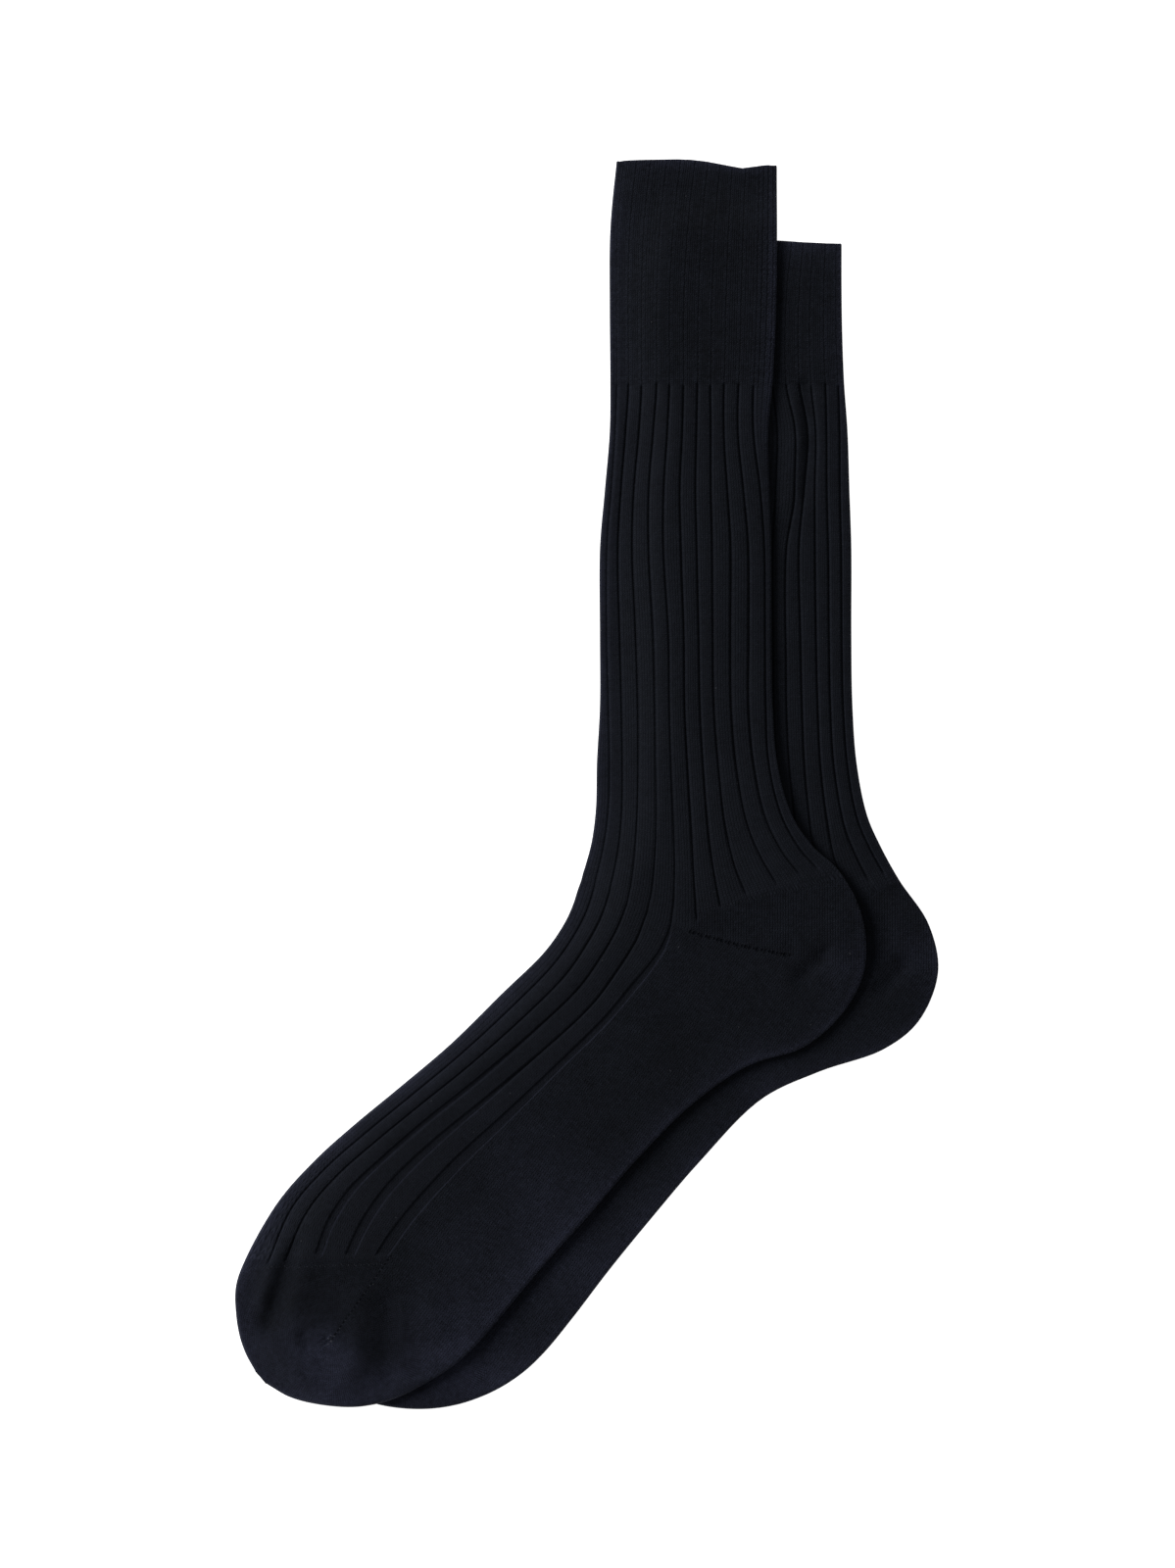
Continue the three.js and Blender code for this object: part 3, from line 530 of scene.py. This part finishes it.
def foldOf(laid, ground, top, side):
    # the rounded fold between the two layers at one edge, going down from the top
    k = -1 if side == "back" else 0
    coreX, coreY = top["x"][:, k], top["y"][:, k]
    outX, outY = laid.out[side].T
    crown = top["z"][:, k] - ground(coreX, coreY) - foldRadius
    small = cloth["hollow"] / 2
    columns = {key: [] for key in top}
    for turn in np.linspace(math.pi / 2, -math.pi / 2, 9)[1:-1]:
        faces = ((outerKeys, laid.foldSize[side], crown, foldRadius), (innerKeys, small, small, small))
        for keys, reach, up, down in faces:
            fx = coreX + outX * reach * math.cos(turn)
            fy = coreY + outY * reach * math.cos(turn)
            fz = ground(fx, fy) + foldRadius + (up if turn > 0 else down) * math.sin(turn)
            for key, value in zip(keys, (fx, fy, fz)):
                columns[key].append(value)
        part = 0.5 - turn / math.pi
        wale = cloth["faceWales"] + 2 * part if side == "back" else 1 - 2 * part
        columns["wale"].append(np.full(coreX.shape, wale))
        columns["relief"].append(np.zeros(coreX.shape))
        columns["plain"].append(top["plain"][:, k])
        columns["paintedLight"].append(top["paintedLight"][:, k])
    return {key: np.array(value).T for key, value in columns.items()}


def bridge(upper, lower, upperAt, lowerAt):
    # triangles between two lines of points with different spacing
    faces, i, j = [], 0, 0
    while i < len(upper) - 1 or j < len(lower) - 1:
        takeUpper = j == len(lower) - 1 or (i < len(upper) - 1 and upperAt[i + 1] <= lowerAt[j + 1])
        third = upper[i + 1] if takeUpper else lower[j + 1]
        if upper[i] != lower[j] and third not in (upper[i], lower[j]):
            faces.append((upper[i], lower[j], third))
        i, j = (i + 1, j) if takeUpper else (i, j + 1)
    return faces


def turnedRound(part):
    # a part of the ring with its columns the other way round
    return {key: value[:, ::-1] for key, value in part.items()}


def closeToe(grid, laid, ground, across):
    # the toe's closed end turns down over a few more rows
    front, back = laid.edge["front"][-1], laid.edge["back"][-1]
    last = {key: value[-1] for key, value in grid.items()}
    height = last["z"] - ground(last["x"], last["y"]) - foldRadius
    part = (last["x"] - front[0]) * across[0] + (last["y"] - front[1]) * across[1]
    bulge = cloth["toeBulge"] * (1 - 0.8 * np.clip(2 * part / np.linalg.norm(back - front) - 1, -1, 1) ** 2)
    ends = {key: [grid[key]] for key in grid}
    for turn in np.radians(toeTurns):
        row = dict(last)
        row["x"] = last["x"] + bulge * math.sin(turn) * across[1]
        row["y"] = last["y"] - bulge * math.sin(turn) * across[0]
        row["z"] = ground(row["x"], row["y"]) + foldRadius + height * math.cos(turn)
        for key in ends:
            ends[key].append(row[key][None, :])
    return {key: np.vstack(value) for key, value in ends.items()}


def hemRows(outer, inner, laid):
    # the mouth's hem turns over from the outer face to the inner one
    half = (outer - inner) / 2
    thick = np.linalg.norm(half, axis=1)[:, None]
    mouth = laid.edge["back"][0] - laid.edge["front"][0]
    ahead = np.array([-mouth[1], mouth[0], 0]) / np.linalg.norm(mouth)
    return np.array([(outer + inner) / 2 + half * math.cos(turn) + thick * 0.8 * math.sin(turn) * ahead
                     for turn in np.radians(hemTurns)])


def quadsOf(grid):
    # faces between neighbours in a grid whose columns close to a ring
    beside = np.roll(grid, -1, 1)
    return np.stack([grid[:-1], grid[1:], beside[1:], beside[:-1]], 2).reshape(-1, 4)


def makeSock(sock, ground):
    rows = rowsOf()
    laid = Laid(sock, rows)
    outline = outlineOf(sock["sections"], 0.5)
    top = layerOf(sock, laid, ground, outline, True)
    under = layerOf(sock, laid, ground, outline, False)
    back = foldOf(laid, ground, top, "back")
    front = foldOf(laid, ground, top, "front")
    # one ring of columns: top layer, back fold, under layer, front fold
    ring = [top, back, turnedRound(under), turnedRound(front)]
    grid = {key: np.hstack([part[key] for part in ring]) for key in top}
    topCount, foldCount, count = (part["x"].shape[1] for part in (top, back, grid))
    halfFold, underStart, underEnd = foldCount // 2, topCount + foldCount, count - foldCount
    across = laid.edge["back"][-1] - laid.edge["front"][-1]
    across /= np.linalg.norm(across)
    grid = closeToe(grid, laid, ground, across)
    toeRows, hemCount = len(toeTurns), len(hemTurns)
    rowCount = len(rows) + toeRows + hemCount
    # how far along the sock each row lies, for the knit's courses, and its section
    course = np.cumsum(np.linalg.norm(np.diff(laid.middle, axis=0), axis=1))
    toeCourse = course[-1] + np.arange(1, toeRows + 1) * 0.5
    course = np.concatenate([[0, -0.5, -1, -1, -0.5, 0], course, toeCourse])
    section = np.concatenate([[0] * hemCount, rows, [toeTip] * toeRows])
    outer, hollow = (np.stack([grid[key] for key in keys], 2) for keys in (outerKeys, innerKeys))
    points = np.concatenate([hemRows(outer[0], hollow[0], laid), outer])
    values = {}
    for key in ("wale", "relief", "plain", "paintedLight"):
        values[key] = np.vstack([np.repeat(grid[key][:1], hemCount, 0), grid[key]])
    face = np.arange(rowCount * count).reshape(rowCount, count)
    # the toe is closed between the two layers
    lines = [[*range(count - halfFold - 1, count), *range(topCount + halfFold + 1)],
             [*range(count - halfFold - 1, topCount + halfFold - 1, -1)]]
    reach = grid["x"][-1] * across[0] + grid["y"][-1] * across[1]
    toeFaces = bridge(*(face[-1][line].tolist() for line in lines), *(reach[line] for line in lines))
    # a coarser inner wall
    keep = sorted({*range(0, topCount, 3), topCount - 1, topCount + halfFold,
                   *range(underStart, underEnd, 2), underEnd - 1, count - halfFold - 1})
    innerRows = list(range(4, len(rows) - 2, 3))
    wide = len(keep)
    innerPoints = hollow[np.ix_(innerRows, keep)]
    inner = np.arange(len(innerRows) * wide).reshape(len(innerRows), wide) + rowCount * count
    mouthFaces = bridge([*range(count), 0], [*inner[0].tolist(), int(inner[0, 0])],
                        range(count + 1), [*keep, count])
    foldAt = sum(k < topCount for k in keep)
    lines = [[*range(wide - 1, foldAt - 1, -1)], [wide - 1, *range(foldAt + 1)]]
    reach = innerPoints[-1, :, :2] @ across
    endFaces = bridge(*(inner[-1][line].tolist() for line in lines), *(reach[line] for line in lines))
    allPoints = np.concatenate([points.reshape(-1, 3), innerPoints.reshape(-1, 3)]) * mm
    faces = quadsOf(face).tolist() + [f[::-1] for f in toeFaces]
    faces += quadsOf(inner)[:, [0, 3, 2, 1]].tolist() + mouthFaces + endFaces
    mesh = bpy.data.meshes.new(sock["name"])
    mesh.from_pydata(allPoints.tolist(), [], faces)
    mesh.update()
    sockObject = bpy.data.objects.new(sock["name"], mesh)
    bpy.context.collection.objects.link(sockObject)

    def onPoints(part, innerValue=0.0):
        # a value for each point, with the inner wall's after the ring's
        return np.pad(part.ravel(), (0, inner.size), constant_values=innerValue)

    values = {key: onPoints(part, 1.0 if key == "plain" else 0.0) for key, part in values.items()}
    for key in ("relief", "plain", "paintedLight"):
        layer = mesh.attributes.new(key, "FLOAT", "POINT")
        layer.data.foreach_set("value", values[key].astype(np.float32))
    courses = onPoints(np.repeat(course, count)) / cloth["courseHeight"]
    sections = onPoints(np.repeat(section, count), 1.0)
    writeMaps(mesh, allPoints / mm, values["wale"], courses, sections, values["plain"],
              face, topCount + halfFold, count - halfFold - 1, sock["toeCentre"])
    for polygon in mesh.polygons:
        polygon.use_smooth = True
    print(sock["name"], len(mesh.vertices), "points", len(mesh.polygons), "faces")
    return sockObject


def numbersOf(items, name):
    numbers = np.zeros(len(items), np.int32)
    items.foreach_get(name, numbers)
    return numbers


def writeMaps(mesh, points, wales, courses, sections, plain, face, lowStart, lowEnd, toeCentre):
    # the knit's map in wales and courses, and a map in 0 to 1 for a bake
    corner = numbersOf(mesh.loops, "vertex_index")
    start, total = numbersOf(mesh.polygons, "loop_start"), numbersOf(mesh.polygons, "loop_total")
    firstCorner = np.repeat(corner[start], total)
    section = sections[firstCorner]
    x, y = points[corner, 0], points[corner, 1]
    footX, footY = -0.62, -0.785  # the way that the foot points
    wide, tall = cloth["waleWidth"], cloth["courseHeight"]
    u, v = wales[corner].copy(), courses[corner].copy()
    # a face that closes the ring keeps its wale numbers together
    spread = np.maximum.reduceat(u, start) - np.minimum.reduceat(u, start)
    jump = np.repeat(spread > 40, total)
    u[jump & (u > cloth["roundWales"] / 2)] -= cloth["roundWales"]
    plainFace = (plain[firstCorner] > 0.5) & (section > heelTop - 0.5)
    gore = section < goreSection
    # on the toe the stitches fan out from the end of its gore
    toeX, toeY = toeCentre
    turns = np.arctan2(y - toeY, x - toeX) / (2 * math.pi)
    turns -= np.round(turns - np.repeat(turns[start], total))
    onToe = section >= toeTop
    u = np.where(plainFace, np.where(gore, x / wide, (y * footX - x * footY) / wide), u)
    v = np.where(plainFace, np.where(gore, -y / tall, (x * footX + y * footY) / tall), v)
    # fewer wales on each smaller ring
    away = np.hypot(x - toeX, y - toeY)
    ring = np.round(2 * np.log2(np.clip(np.repeat(away[start], total), 2, 60) / 20)) / 2
    u = np.where(onToe, turns * np.round(cloth["toeWales"] * 2**ring), u)
    v = np.where(onToe, away / tall, v)
    column = firstCorner % face.shape[1]
    isGrid = firstCorner < face.size
    lower = isGrid & (column >= lowStart) & (column < lowEnd)
    # the two faces lie side by side, turned so that they share the square, and the inner wall is small
    fromLeft, fromBelow = x + 130.5, y + 231.5
    scale, innerScale = 1.9 * mm, 0.23 * mm
    bakeU = np.where(lower, 0.99 - fromLeft * scale, 0.005 + fromLeft * scale)
    bakeV = 0.003 + fromBelow * scale
    high = np.repeat(np.add.reduceat(points[corner, 2], start) / total, total)
    shift = np.where(high > foldRadius, 0.02, 0.12)
    bakeU = np.where(isGrid, bakeU, shift + fromLeft * innerScale)
    bakeV = np.where(isGrid, bakeV, 0.885 + fromBelow * innerScale)
    for name, places in (("Knit", (u, v)), ("OFBake", (bakeU, bakeV))):
        layer = mesh.uv_layers.new(name=name)
        layer.data.foreach_set("uv", np.stack(places, 1).astype(np.float32).ravel())


lowerPiece = makeSock(lowerSock, lowerGround)
upperPiece = makeSock(upperSock, upperGround)
print("socks shaped")


class Wire:
    # a shader socket or number that adds its Math nodes when used in an expression
    def __init__(self, book, socket):
        self.book, self.socket = book, socket

    def math(self, operation, *others):
        return self.book.node("ShaderNodeMath", {"operation": operation}, (self,) + others)

    def __add__(self, other):
        return self.math("ADD", other)

    def __sub__(self, other):
        return self.math("SUBTRACT", other)

    def __mul__(self, other):
        return self.math("MULTIPLY", other)

    def __pow__(self, other):
        return self.math("POWER", other)

    def __rsub__(self, other):
        return self.book.node("ShaderNodeMath", {"operation": "SUBTRACT"}, (other, self))

    __radd__ = __add__
    __rmul__ = __mul__

    def clamp(self):
        return self.book.node("ShaderNodeClamp", {}, (self, 0.0, 1.0))

    def step(self, low, high):
        return self.book.node("ShaderNodeMapRange", {"interpolation_type": "SMOOTHSTEP"}, (self, low, high))


class NodeBook:
    def __init__(self, name):
        self.material = bpy.data.materials.new(name)
        self.material.use_nodes = True
        self.tree = self.material.node_tree
        self.tree.nodes.clear()
        self.output = self.tree.nodes.new("ShaderNodeOutputMaterial")

    def node(self, kind, settings, inputs=(), output=0):
        # settings first, then values or links by place or by name
        made = self.tree.nodes.new(kind)
        for key, value in settings.items():
            setattr(made, key, value)
        pairs = inputs.items() if isinstance(inputs, dict) else enumerate(inputs)
        for key, value in pairs:
            if isinstance(value, Wire):
                self.tree.links.new(value.socket, made.inputs[key])
            elif value is not None:
                made.inputs[key].default_value = value
        return Wire(self, made.outputs[output])

    def finished(self, inputs):
        shader = self.node("ShaderNodeBsdfPrincipled", {}, inputs)
        self.tree.links.new(shader.socket, self.output.inputs[0])
        return self.material

    def place(self):
        return self.node("ShaderNodeTexCoord", {}, output=3)

    def scaled(self, color, level):
        return self.node("ShaderNodeVectorMath", {"operation": "SCALE"}, {0: color, 3: level})

    def attribute(self, name):
        return self.node("ShaderNodeAttribute", {"attribute_name": name}, output=2)

    def mix(self, part, low, high):
        return self.node("ShaderNodeMix", {"data_type": "RGBA"}, {0: part, 6: low, 7: high}, output=2)

    def noise(self, vector, scale, detail=2.0):
        return self.node("ShaderNodeTexNoise", {}, {"Vector": vector, "Scale": scale, "Detail": detail})


fullTurn = 6.28318
finish = {
    "ribColor": (0.0062, 0.0073, 0.0106, 1), "plainColor": (0.0053, 0.0063, 0.0094, 1),
    "paintedLightColor": (0.0165, 0.0182, 0.031, 1), "grooveShadeColor": (0.0022, 0.0026, 0.0045, 1),
    "fluffColor": (0.05, 0.052, 0.06, 1), "knitHeight": 0.00026, "mottle": 0.4, "stitchToneAndShade": 0.55,
    "surface": {"Roughness": 0.8, "Specular IOR Level": 0.07, "Sheen Weight": 0.03,
                "Sheen Roughness": 0.45, "Sheen Tint": (0.72, 0.78, 1.0, 1.0)},
}


def knitMaterial(name):
    book = NodeBook(name)
    uv = book.node("ShaderNodeUVMap", {"uv_map": "Knit"})
    place = book.place()
    wale = book.node("ShaderNodeSeparateXYZ", {}, (uv,))
    course = Wire(book, wale.socket.node.outputs[1])
    relief, plain, paintedLight = book.attribute("relief"), book.attribute("plain"), book.attribute("paintedLight")
    cloudy = book.noise(place, 38.0, 3.0)
    patchy = book.noise(place, 170.0, 3.0)
    fine = book.noise(place, 640.0)
    # two legs of each stitch lean together into a V, no two quite alike
    wander = book.noise(uv, 0.7) - 0.5
    across = (wale + wander * 0.6).math("FRACT") - 0.5
    lean = across.math("ABSOLUTE")
    wave = ((course + wander * 1.6 - lean * 1.2) * fullTurn).math("COSINE") * 0.5 + 0.5
    legs = 1 - (lean * 2) ** 2.2
    stitch = wave * 0.6 + legs * 0.75 - (1 - (lean * 5).clamp()) * 0.3
    streak = book.noise(book.node("ShaderNodeCombineXYZ", {}, (wale * 0.2, course * 0.9, 0.0)), 1.0, 1.0)
    tone = (cloudy - 0.5) * 0.8 + (patchy - 0.5) * 0.75 + (fine - 0.5) * 1.5 + (streak - 0.5) * 0.6
    body = book.mix(plain, finish["ribColor"], finish["plainColor"])
    # painted light: a paler, bluer colour as painted sheen near the edges and in painted patches
    body = book.mix((paintedLight * 0.85 * (0.4 + cloudy * 1.2)).clamp(), body, finish["paintedLightColor"])
    # painted shade darkens the deep grooves
    body = book.mix(relief.step(0.45, 0.9) * 0.55, body, finish["grooveShadeColor"])
    rough = 1.2 + plain * 0.75  # the plain knit shows its stitches more than the ribs do
    # the stitches' pattern lightens and darkens the colour, partly the yarn's own tone and partly painted
    # shade of their relief
    level = (1 + tone * rough * finish["mottle"]) * (1 + (stitch - 0.65) * rough * finish["stitchToneAndShade"])
    color = book.scaled(body, level)
    speck = book.noise(place, 700.0, 0.0).step(0.88, 0.92)
    color = book.mix(speck * 0.5, color, finish["fluffColor"])
    height = stitch + (fine - 0.5) * 0.6
    bump = book.node("ShaderNodeBump", {}, {
        "Strength": 0.7, "Distance": rough * finish["knitHeight"], "Height": height})
    return book.finished({**finish["surface"], "Base Color": color, "Normal": bump})


def threadMaterial(name, color, shine=0.12):
    # twisted thread, lighter and darker along its strands
    book = NodeBook(name)
    place = book.place()
    twist = book.noise(place, 1500.0, 1.0)
    tone = book.scaled(color, 0.7 + twist * 0.6)
    bump = book.node("ShaderNodeBump", {}, {"Strength": 0.5, "Distance": 0.00005, "Height": twist})
    return book.finished({
        "Base Color": tone, "Roughness": 0.75, "Specular IOR Level": shine, "Normal": bump})


knit = knitMaterial("navy-rib-knit")
thread = threadMaterial("navy-thread", (0.0042, 0.005, 0.0076))
paleThread = threadMaterial("navy-thread-pale", (0.017, 0.019, 0.027))
knotThread = threadMaterial("navy-thread-knots", (0.042, 0.045, 0.057))
# the eyelet holes' sunken middles take a near-black painted shade
eyeletHoleShade = threadMaterial("eyelet-shade", (0.0015, 0.0019, 0.0032), 0.02)
for piece in (upperPiece, lowerPiece):
    piece.data.materials.append(knit)

# Stitches that show, in mm
stitches = {
    "eyelet": (0.95, 0.12), "bead": (0.62, 0.2, 0.16),  # radius, height; length, width, height
    "goreEyelets": 26, "goreEnd": 0.57,  # along the heel's gore, and how far across it they go
    "linkCount": 54, "linkRow": 25.3,  # the seam that closes the toe, and its section
    "toeGore": (-21.3, -30.0), "toeGoreCount": 22, "toeEyelet": (0.5, 0.62, 0.8), "knotCount": 4,
    "startWidth": 0.34, "startThick": 0.12,  # the small stitches where each rib starts
}


def makeEyelet():
    # a small raised ring of thread round a hole, whose sunken middle is painted dark as the hole's shade
    radius, height = stitches["eyelet"]
    bpy.ops.object.select_all(action="DESELECT")
    bpy.ops.mesh.primitive_circle_add(vertices=12, radius=radius * mm, fill_type="NGON")
    eyelet = bpy.context.object
    eyelet.data.materials.append(thread)
    eyelet.data.materials.append(eyeletHoleShade)
    bpy.ops.object.mode_set(mode="EDIT")
    bpy.ops.mesh.select_all(action="SELECT")
    bpy.ops.mesh.inset(thickness=0.09 * mm)
    bpy.ops.transform.translate(value=(0, 0, height * mm))
    bpy.ops.mesh.inset(thickness=0.05 * mm)
    bpy.ops.mesh.inset(thickness=0.05 * mm)
    bpy.ops.transform.translate(value=(0, 0, -0.8 * height * mm))
    eyelet.active_material_index = 1
    bpy.ops.object.material_slot_assign()
    bpy.ops.mesh.select_all(action="SELECT")
    bpy.ops.transform.resize(value=(0.58, 1.0, 1.0))
    bpy.ops.object.mode_set(mode="OBJECT")
    bpy.ops.object.shade_smooth()
    return eyelet


def makeBead(material):
    # one stitch lying on the cloth, thinner towards its ends
    length, width, height = stitches["bead"]
    bpy.ops.object.select_all(action="DESELECT")
    bpy.ops.mesh.primitive_uv_sphere_add(segments=8, ring_count=6, radius=1, rotation=(0, math.pi / 2, 0))
    bead = bpy.context.object
    bpy.ops.object.transform_apply(location=True, rotation=True, scale=True)
    bead.data.materials.append(material)
    bpy.ops.object.mode_set(mode="EDIT")
    bpy.ops.mesh.select_all(action="SELECT")
    bpy.ops.transform.resize(value=(length * mm / 2, width * mm / 2, height * mm / 2))
    bpy.ops.object.mode_set(mode="OBJECT")
    bpy.ops.object.shade_smooth()
    return bead


def onCloth(piece, x, y, towards, top, scale=(1, 1, 1)):
    # a placing on the cloth at x y in mm, with its length turned towards a plan direction
    high = 0.05 if top else -0.05
    start, way = Vector((x * mm, y * mm, high)), Vector((0, 0, -high)).normalized()
    spot, normal = piece.ray_cast(start, way)[1:3]
    along = Vector((towards[0], towards[1], 0))
    along = (along - normal * along.dot(normal)).normalized()
    side = normal.cross(along)
    turned = Matrix((along, side, normal)).transposed().to_4x4()
    return Matrix.Translation(spot) @ turned @ Matrix.Diagonal((*scale, 1))


def copiesOf(name, placings):
    # each copy of a model has its own mesh; they are joined to one piece
    bpy.ops.object.select_all(action="DESELECT")
    copies = []
    for model, placing in placings:
        copy = model.copy()
        copy.data = model.data.copy()
        copy.data.transform(placing)
        bpy.context.collection.objects.link(copy)
        copy.select_set(True)
        copies.append(copy)
    bpy.context.view_layer.objects.active = copies[0]
    bpy.ops.object.join()
    joined = bpy.context.object
    joined.name = name
    joined.data.name = name
    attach(joined, "root")
    return joined


def onSection(laid, side, part):
    # a place on a section: part of the way from the front edge, or from the middle to the back edge
    part = part if side == "front" else 1 - part
    return laid.edge[side][0] + laid.across[side][0] * laid.length[side][0] * part


def sewSock(sock, piece, eyelet, bead, knot):
    heel = Laid(sock, np.array([float(goreSection)]))
    link = Laid(sock, np.array([stitches["linkRow"]]))
    start = Laid(sock, np.array([legTop - 0.03]))
    toeCorner = Laid(sock, np.array([float(toeTop)])).middle[0]
    toeGore = np.array(stitches["toeGore"])
    rings, beads = [], []
    for top in (True, False):
        for i, part in enumerate(np.linspace(0.01, stitches["goreEnd"], stitches["goreEyelets"])):
            stray = math.sin(2.7 * i)
            x, y = onSection(heel, "back", part) - np.array([0.2 * stray, 0.6 + math.sin(4.5 * part)])
            sizes = (0.85 + 0.3 * math.sin(1.9 * i), 0.9 + 0.3 * stray, 1)
            rings.append((eyelet, onCloth(piece, x, y, (1, -0.62 + 0.2 * stray), top, sizes)))
        for i, part in enumerate(np.linspace(0.05, 0.99, stitches["linkCount"])):
            x, y = onSection(link, "front", part) + np.array([0.15, 0.3]) * math.sin(3.7 * i)
            size = 0.62 + 0.42 * math.sin(2.3 * i)
            beads.append((knot, onCloth(piece, x, y, (0.3, 1), top, (size, 0.75, 0.7))))
        for i, part in enumerate(np.linspace(0, 1, stitches["toeGoreCount"])):
            x, y = toeCorner + toeGore * part
            size = 0.55 + 0.25 * math.sin(2.9 * i) + 0.9 * smooth((part - 0.75) * 4)
            beads.append((knot, onCloth(piece, x, y, (0.9, -0.3), top, (size, size, 0.7))))
            # between the knots the gore opens in small holes, painted dark with their shade, which lie
            # along it
            place = onCloth(piece, x + 0.35, y + 0.8, (0.81, -0.58), top, stitches["toeEyelet"])
            rings.append((eyelet, place))
        for i in range(stitches["knotCount"]):
            x, y = toeCorner + toeGore + np.array([-1.2 + 1.1 * (i % 2), -1.6 + 1.1 * i])
            beads.append((knot, onCloth(piece, x, y, (1, 0.6 - 0.5 * i), top, (1.7, 2.1, 1.3))))
        reach = [groove[0] for groove in start.grooves]
        length, width = stitches["bead"][:2]
        for a, b in zip(reach, reach[1:] + [start.whole[0] - 1.2]):
            places = np.array([[(a + b) / 2 + 0.25]])
            x, y = (float(v[0, 0]) for v in planOf(start, places))
            sizes = ((b - a) * stitches["startWidth"] / length, stitches["startThick"] / width, 0.3)
            beads.append((bead, onCloth(piece, x, y, (1, 0), top, sizes)))
    name = sock["name"]
    return [copiesOf(name + "-gore-eyelets", rings), copiesOf(name + "-stitches", beads)]


bpy.context.view_layer.update()
models = (makeEyelet(), makeBead(paleThread), makeBead(knotThread))
for piece, sock in ((upperPiece, upperSock), (lowerPiece, lowerSock)):
    sewSock(sock, piece, *models)
for model in models:
    bpy.data.objects.remove(model)
print("stitches sewn")

for piece, sock, under in ((upperPiece, upperSock, ["lower-sock"]), (lowerPiece, lowerSock, [])):
    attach(piece, "root")
    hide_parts(*sock["nodes"])
    print(piece.name, "cloth area", round(sum(polygon.area for polygon in piece.data.polygons) / 2, 4))


# Floor, light and camera, whose frame is as high as the photo's: 1600 pixels of 0.36 mm
studio = {
    "floorTone": 0.9, "floorGlow": 0.95, "sky": 0.26,
    "keyPower": 74.0, "keyPlace": (-2.05, 1.0, 1.4), "keySize": 1.25,
    "cameraPlace": (0.00018, -0.00018, 2.203), "viewFrom": 2.2, "viewHeight": 0.576,
}


def floorMaterial():
    book = NodeBook("pale-floor")
    place = book.place()
    tone = book.noise(place, 8.0) * 0.02 + studio["floorTone"]
    color = book.node("ShaderNodeCombineColor", {}, (tone, tone, tone))
    return book.finished({
        "Base Color": color, "Roughness": 0.9, "Specular IOR Level": 0.1,
        "Emission Color": (1, 1, 1, 1), "Emission Strength": studio["floorGlow"]})


bpy.ops.mesh.primitive_plane_add(size=8, location=(0, 0, -0.0002))
floor = bpy.context.object
floor.name = "studio-floor"
bpy.ops.object.transform_apply(location=True, rotation=True, scale=True)
floor.data.materials.append(floorMaterial())

world = bpy.data.worlds.new("studio-sky")
bpy.context.scene.world = world
world.use_nodes = True
background = world.node_tree.nodes["Background"]
background.inputs[0].default_value = (1, 1, 1, 1)
background.inputs[1].default_value = studio["sky"]

keyLight = bpy.data.lights.new("key-panel", "AREA")
keyLight.energy = studio["keyPower"]
keyLight.size = studio["keySize"]
keyObject = bpy.data.objects.new("key-panel", keyLight)
keyObject.location = studio["keyPlace"]
keyObject.rotation_euler = (-Vector(studio["keyPlace"])).to_track_quat("-Z", "Y").to_euler()
bpy.context.collection.objects.link(keyObject)

camera = bpy.data.cameras.new("top-camera")
cameraObject = bpy.data.objects.new("top-camera", camera)
cameraObject.location = studio["cameraPlace"]
camera.sensor_width = 36
camera.lens = 36 * studio["viewFrom"] / studio["viewHeight"]
bpy.context.collection.objects.link(cameraObject)
bpy.context.scene.camera = cameraObject
bpy.context.scene.view_settings.view_transform = "Standard"
print("studio ready")
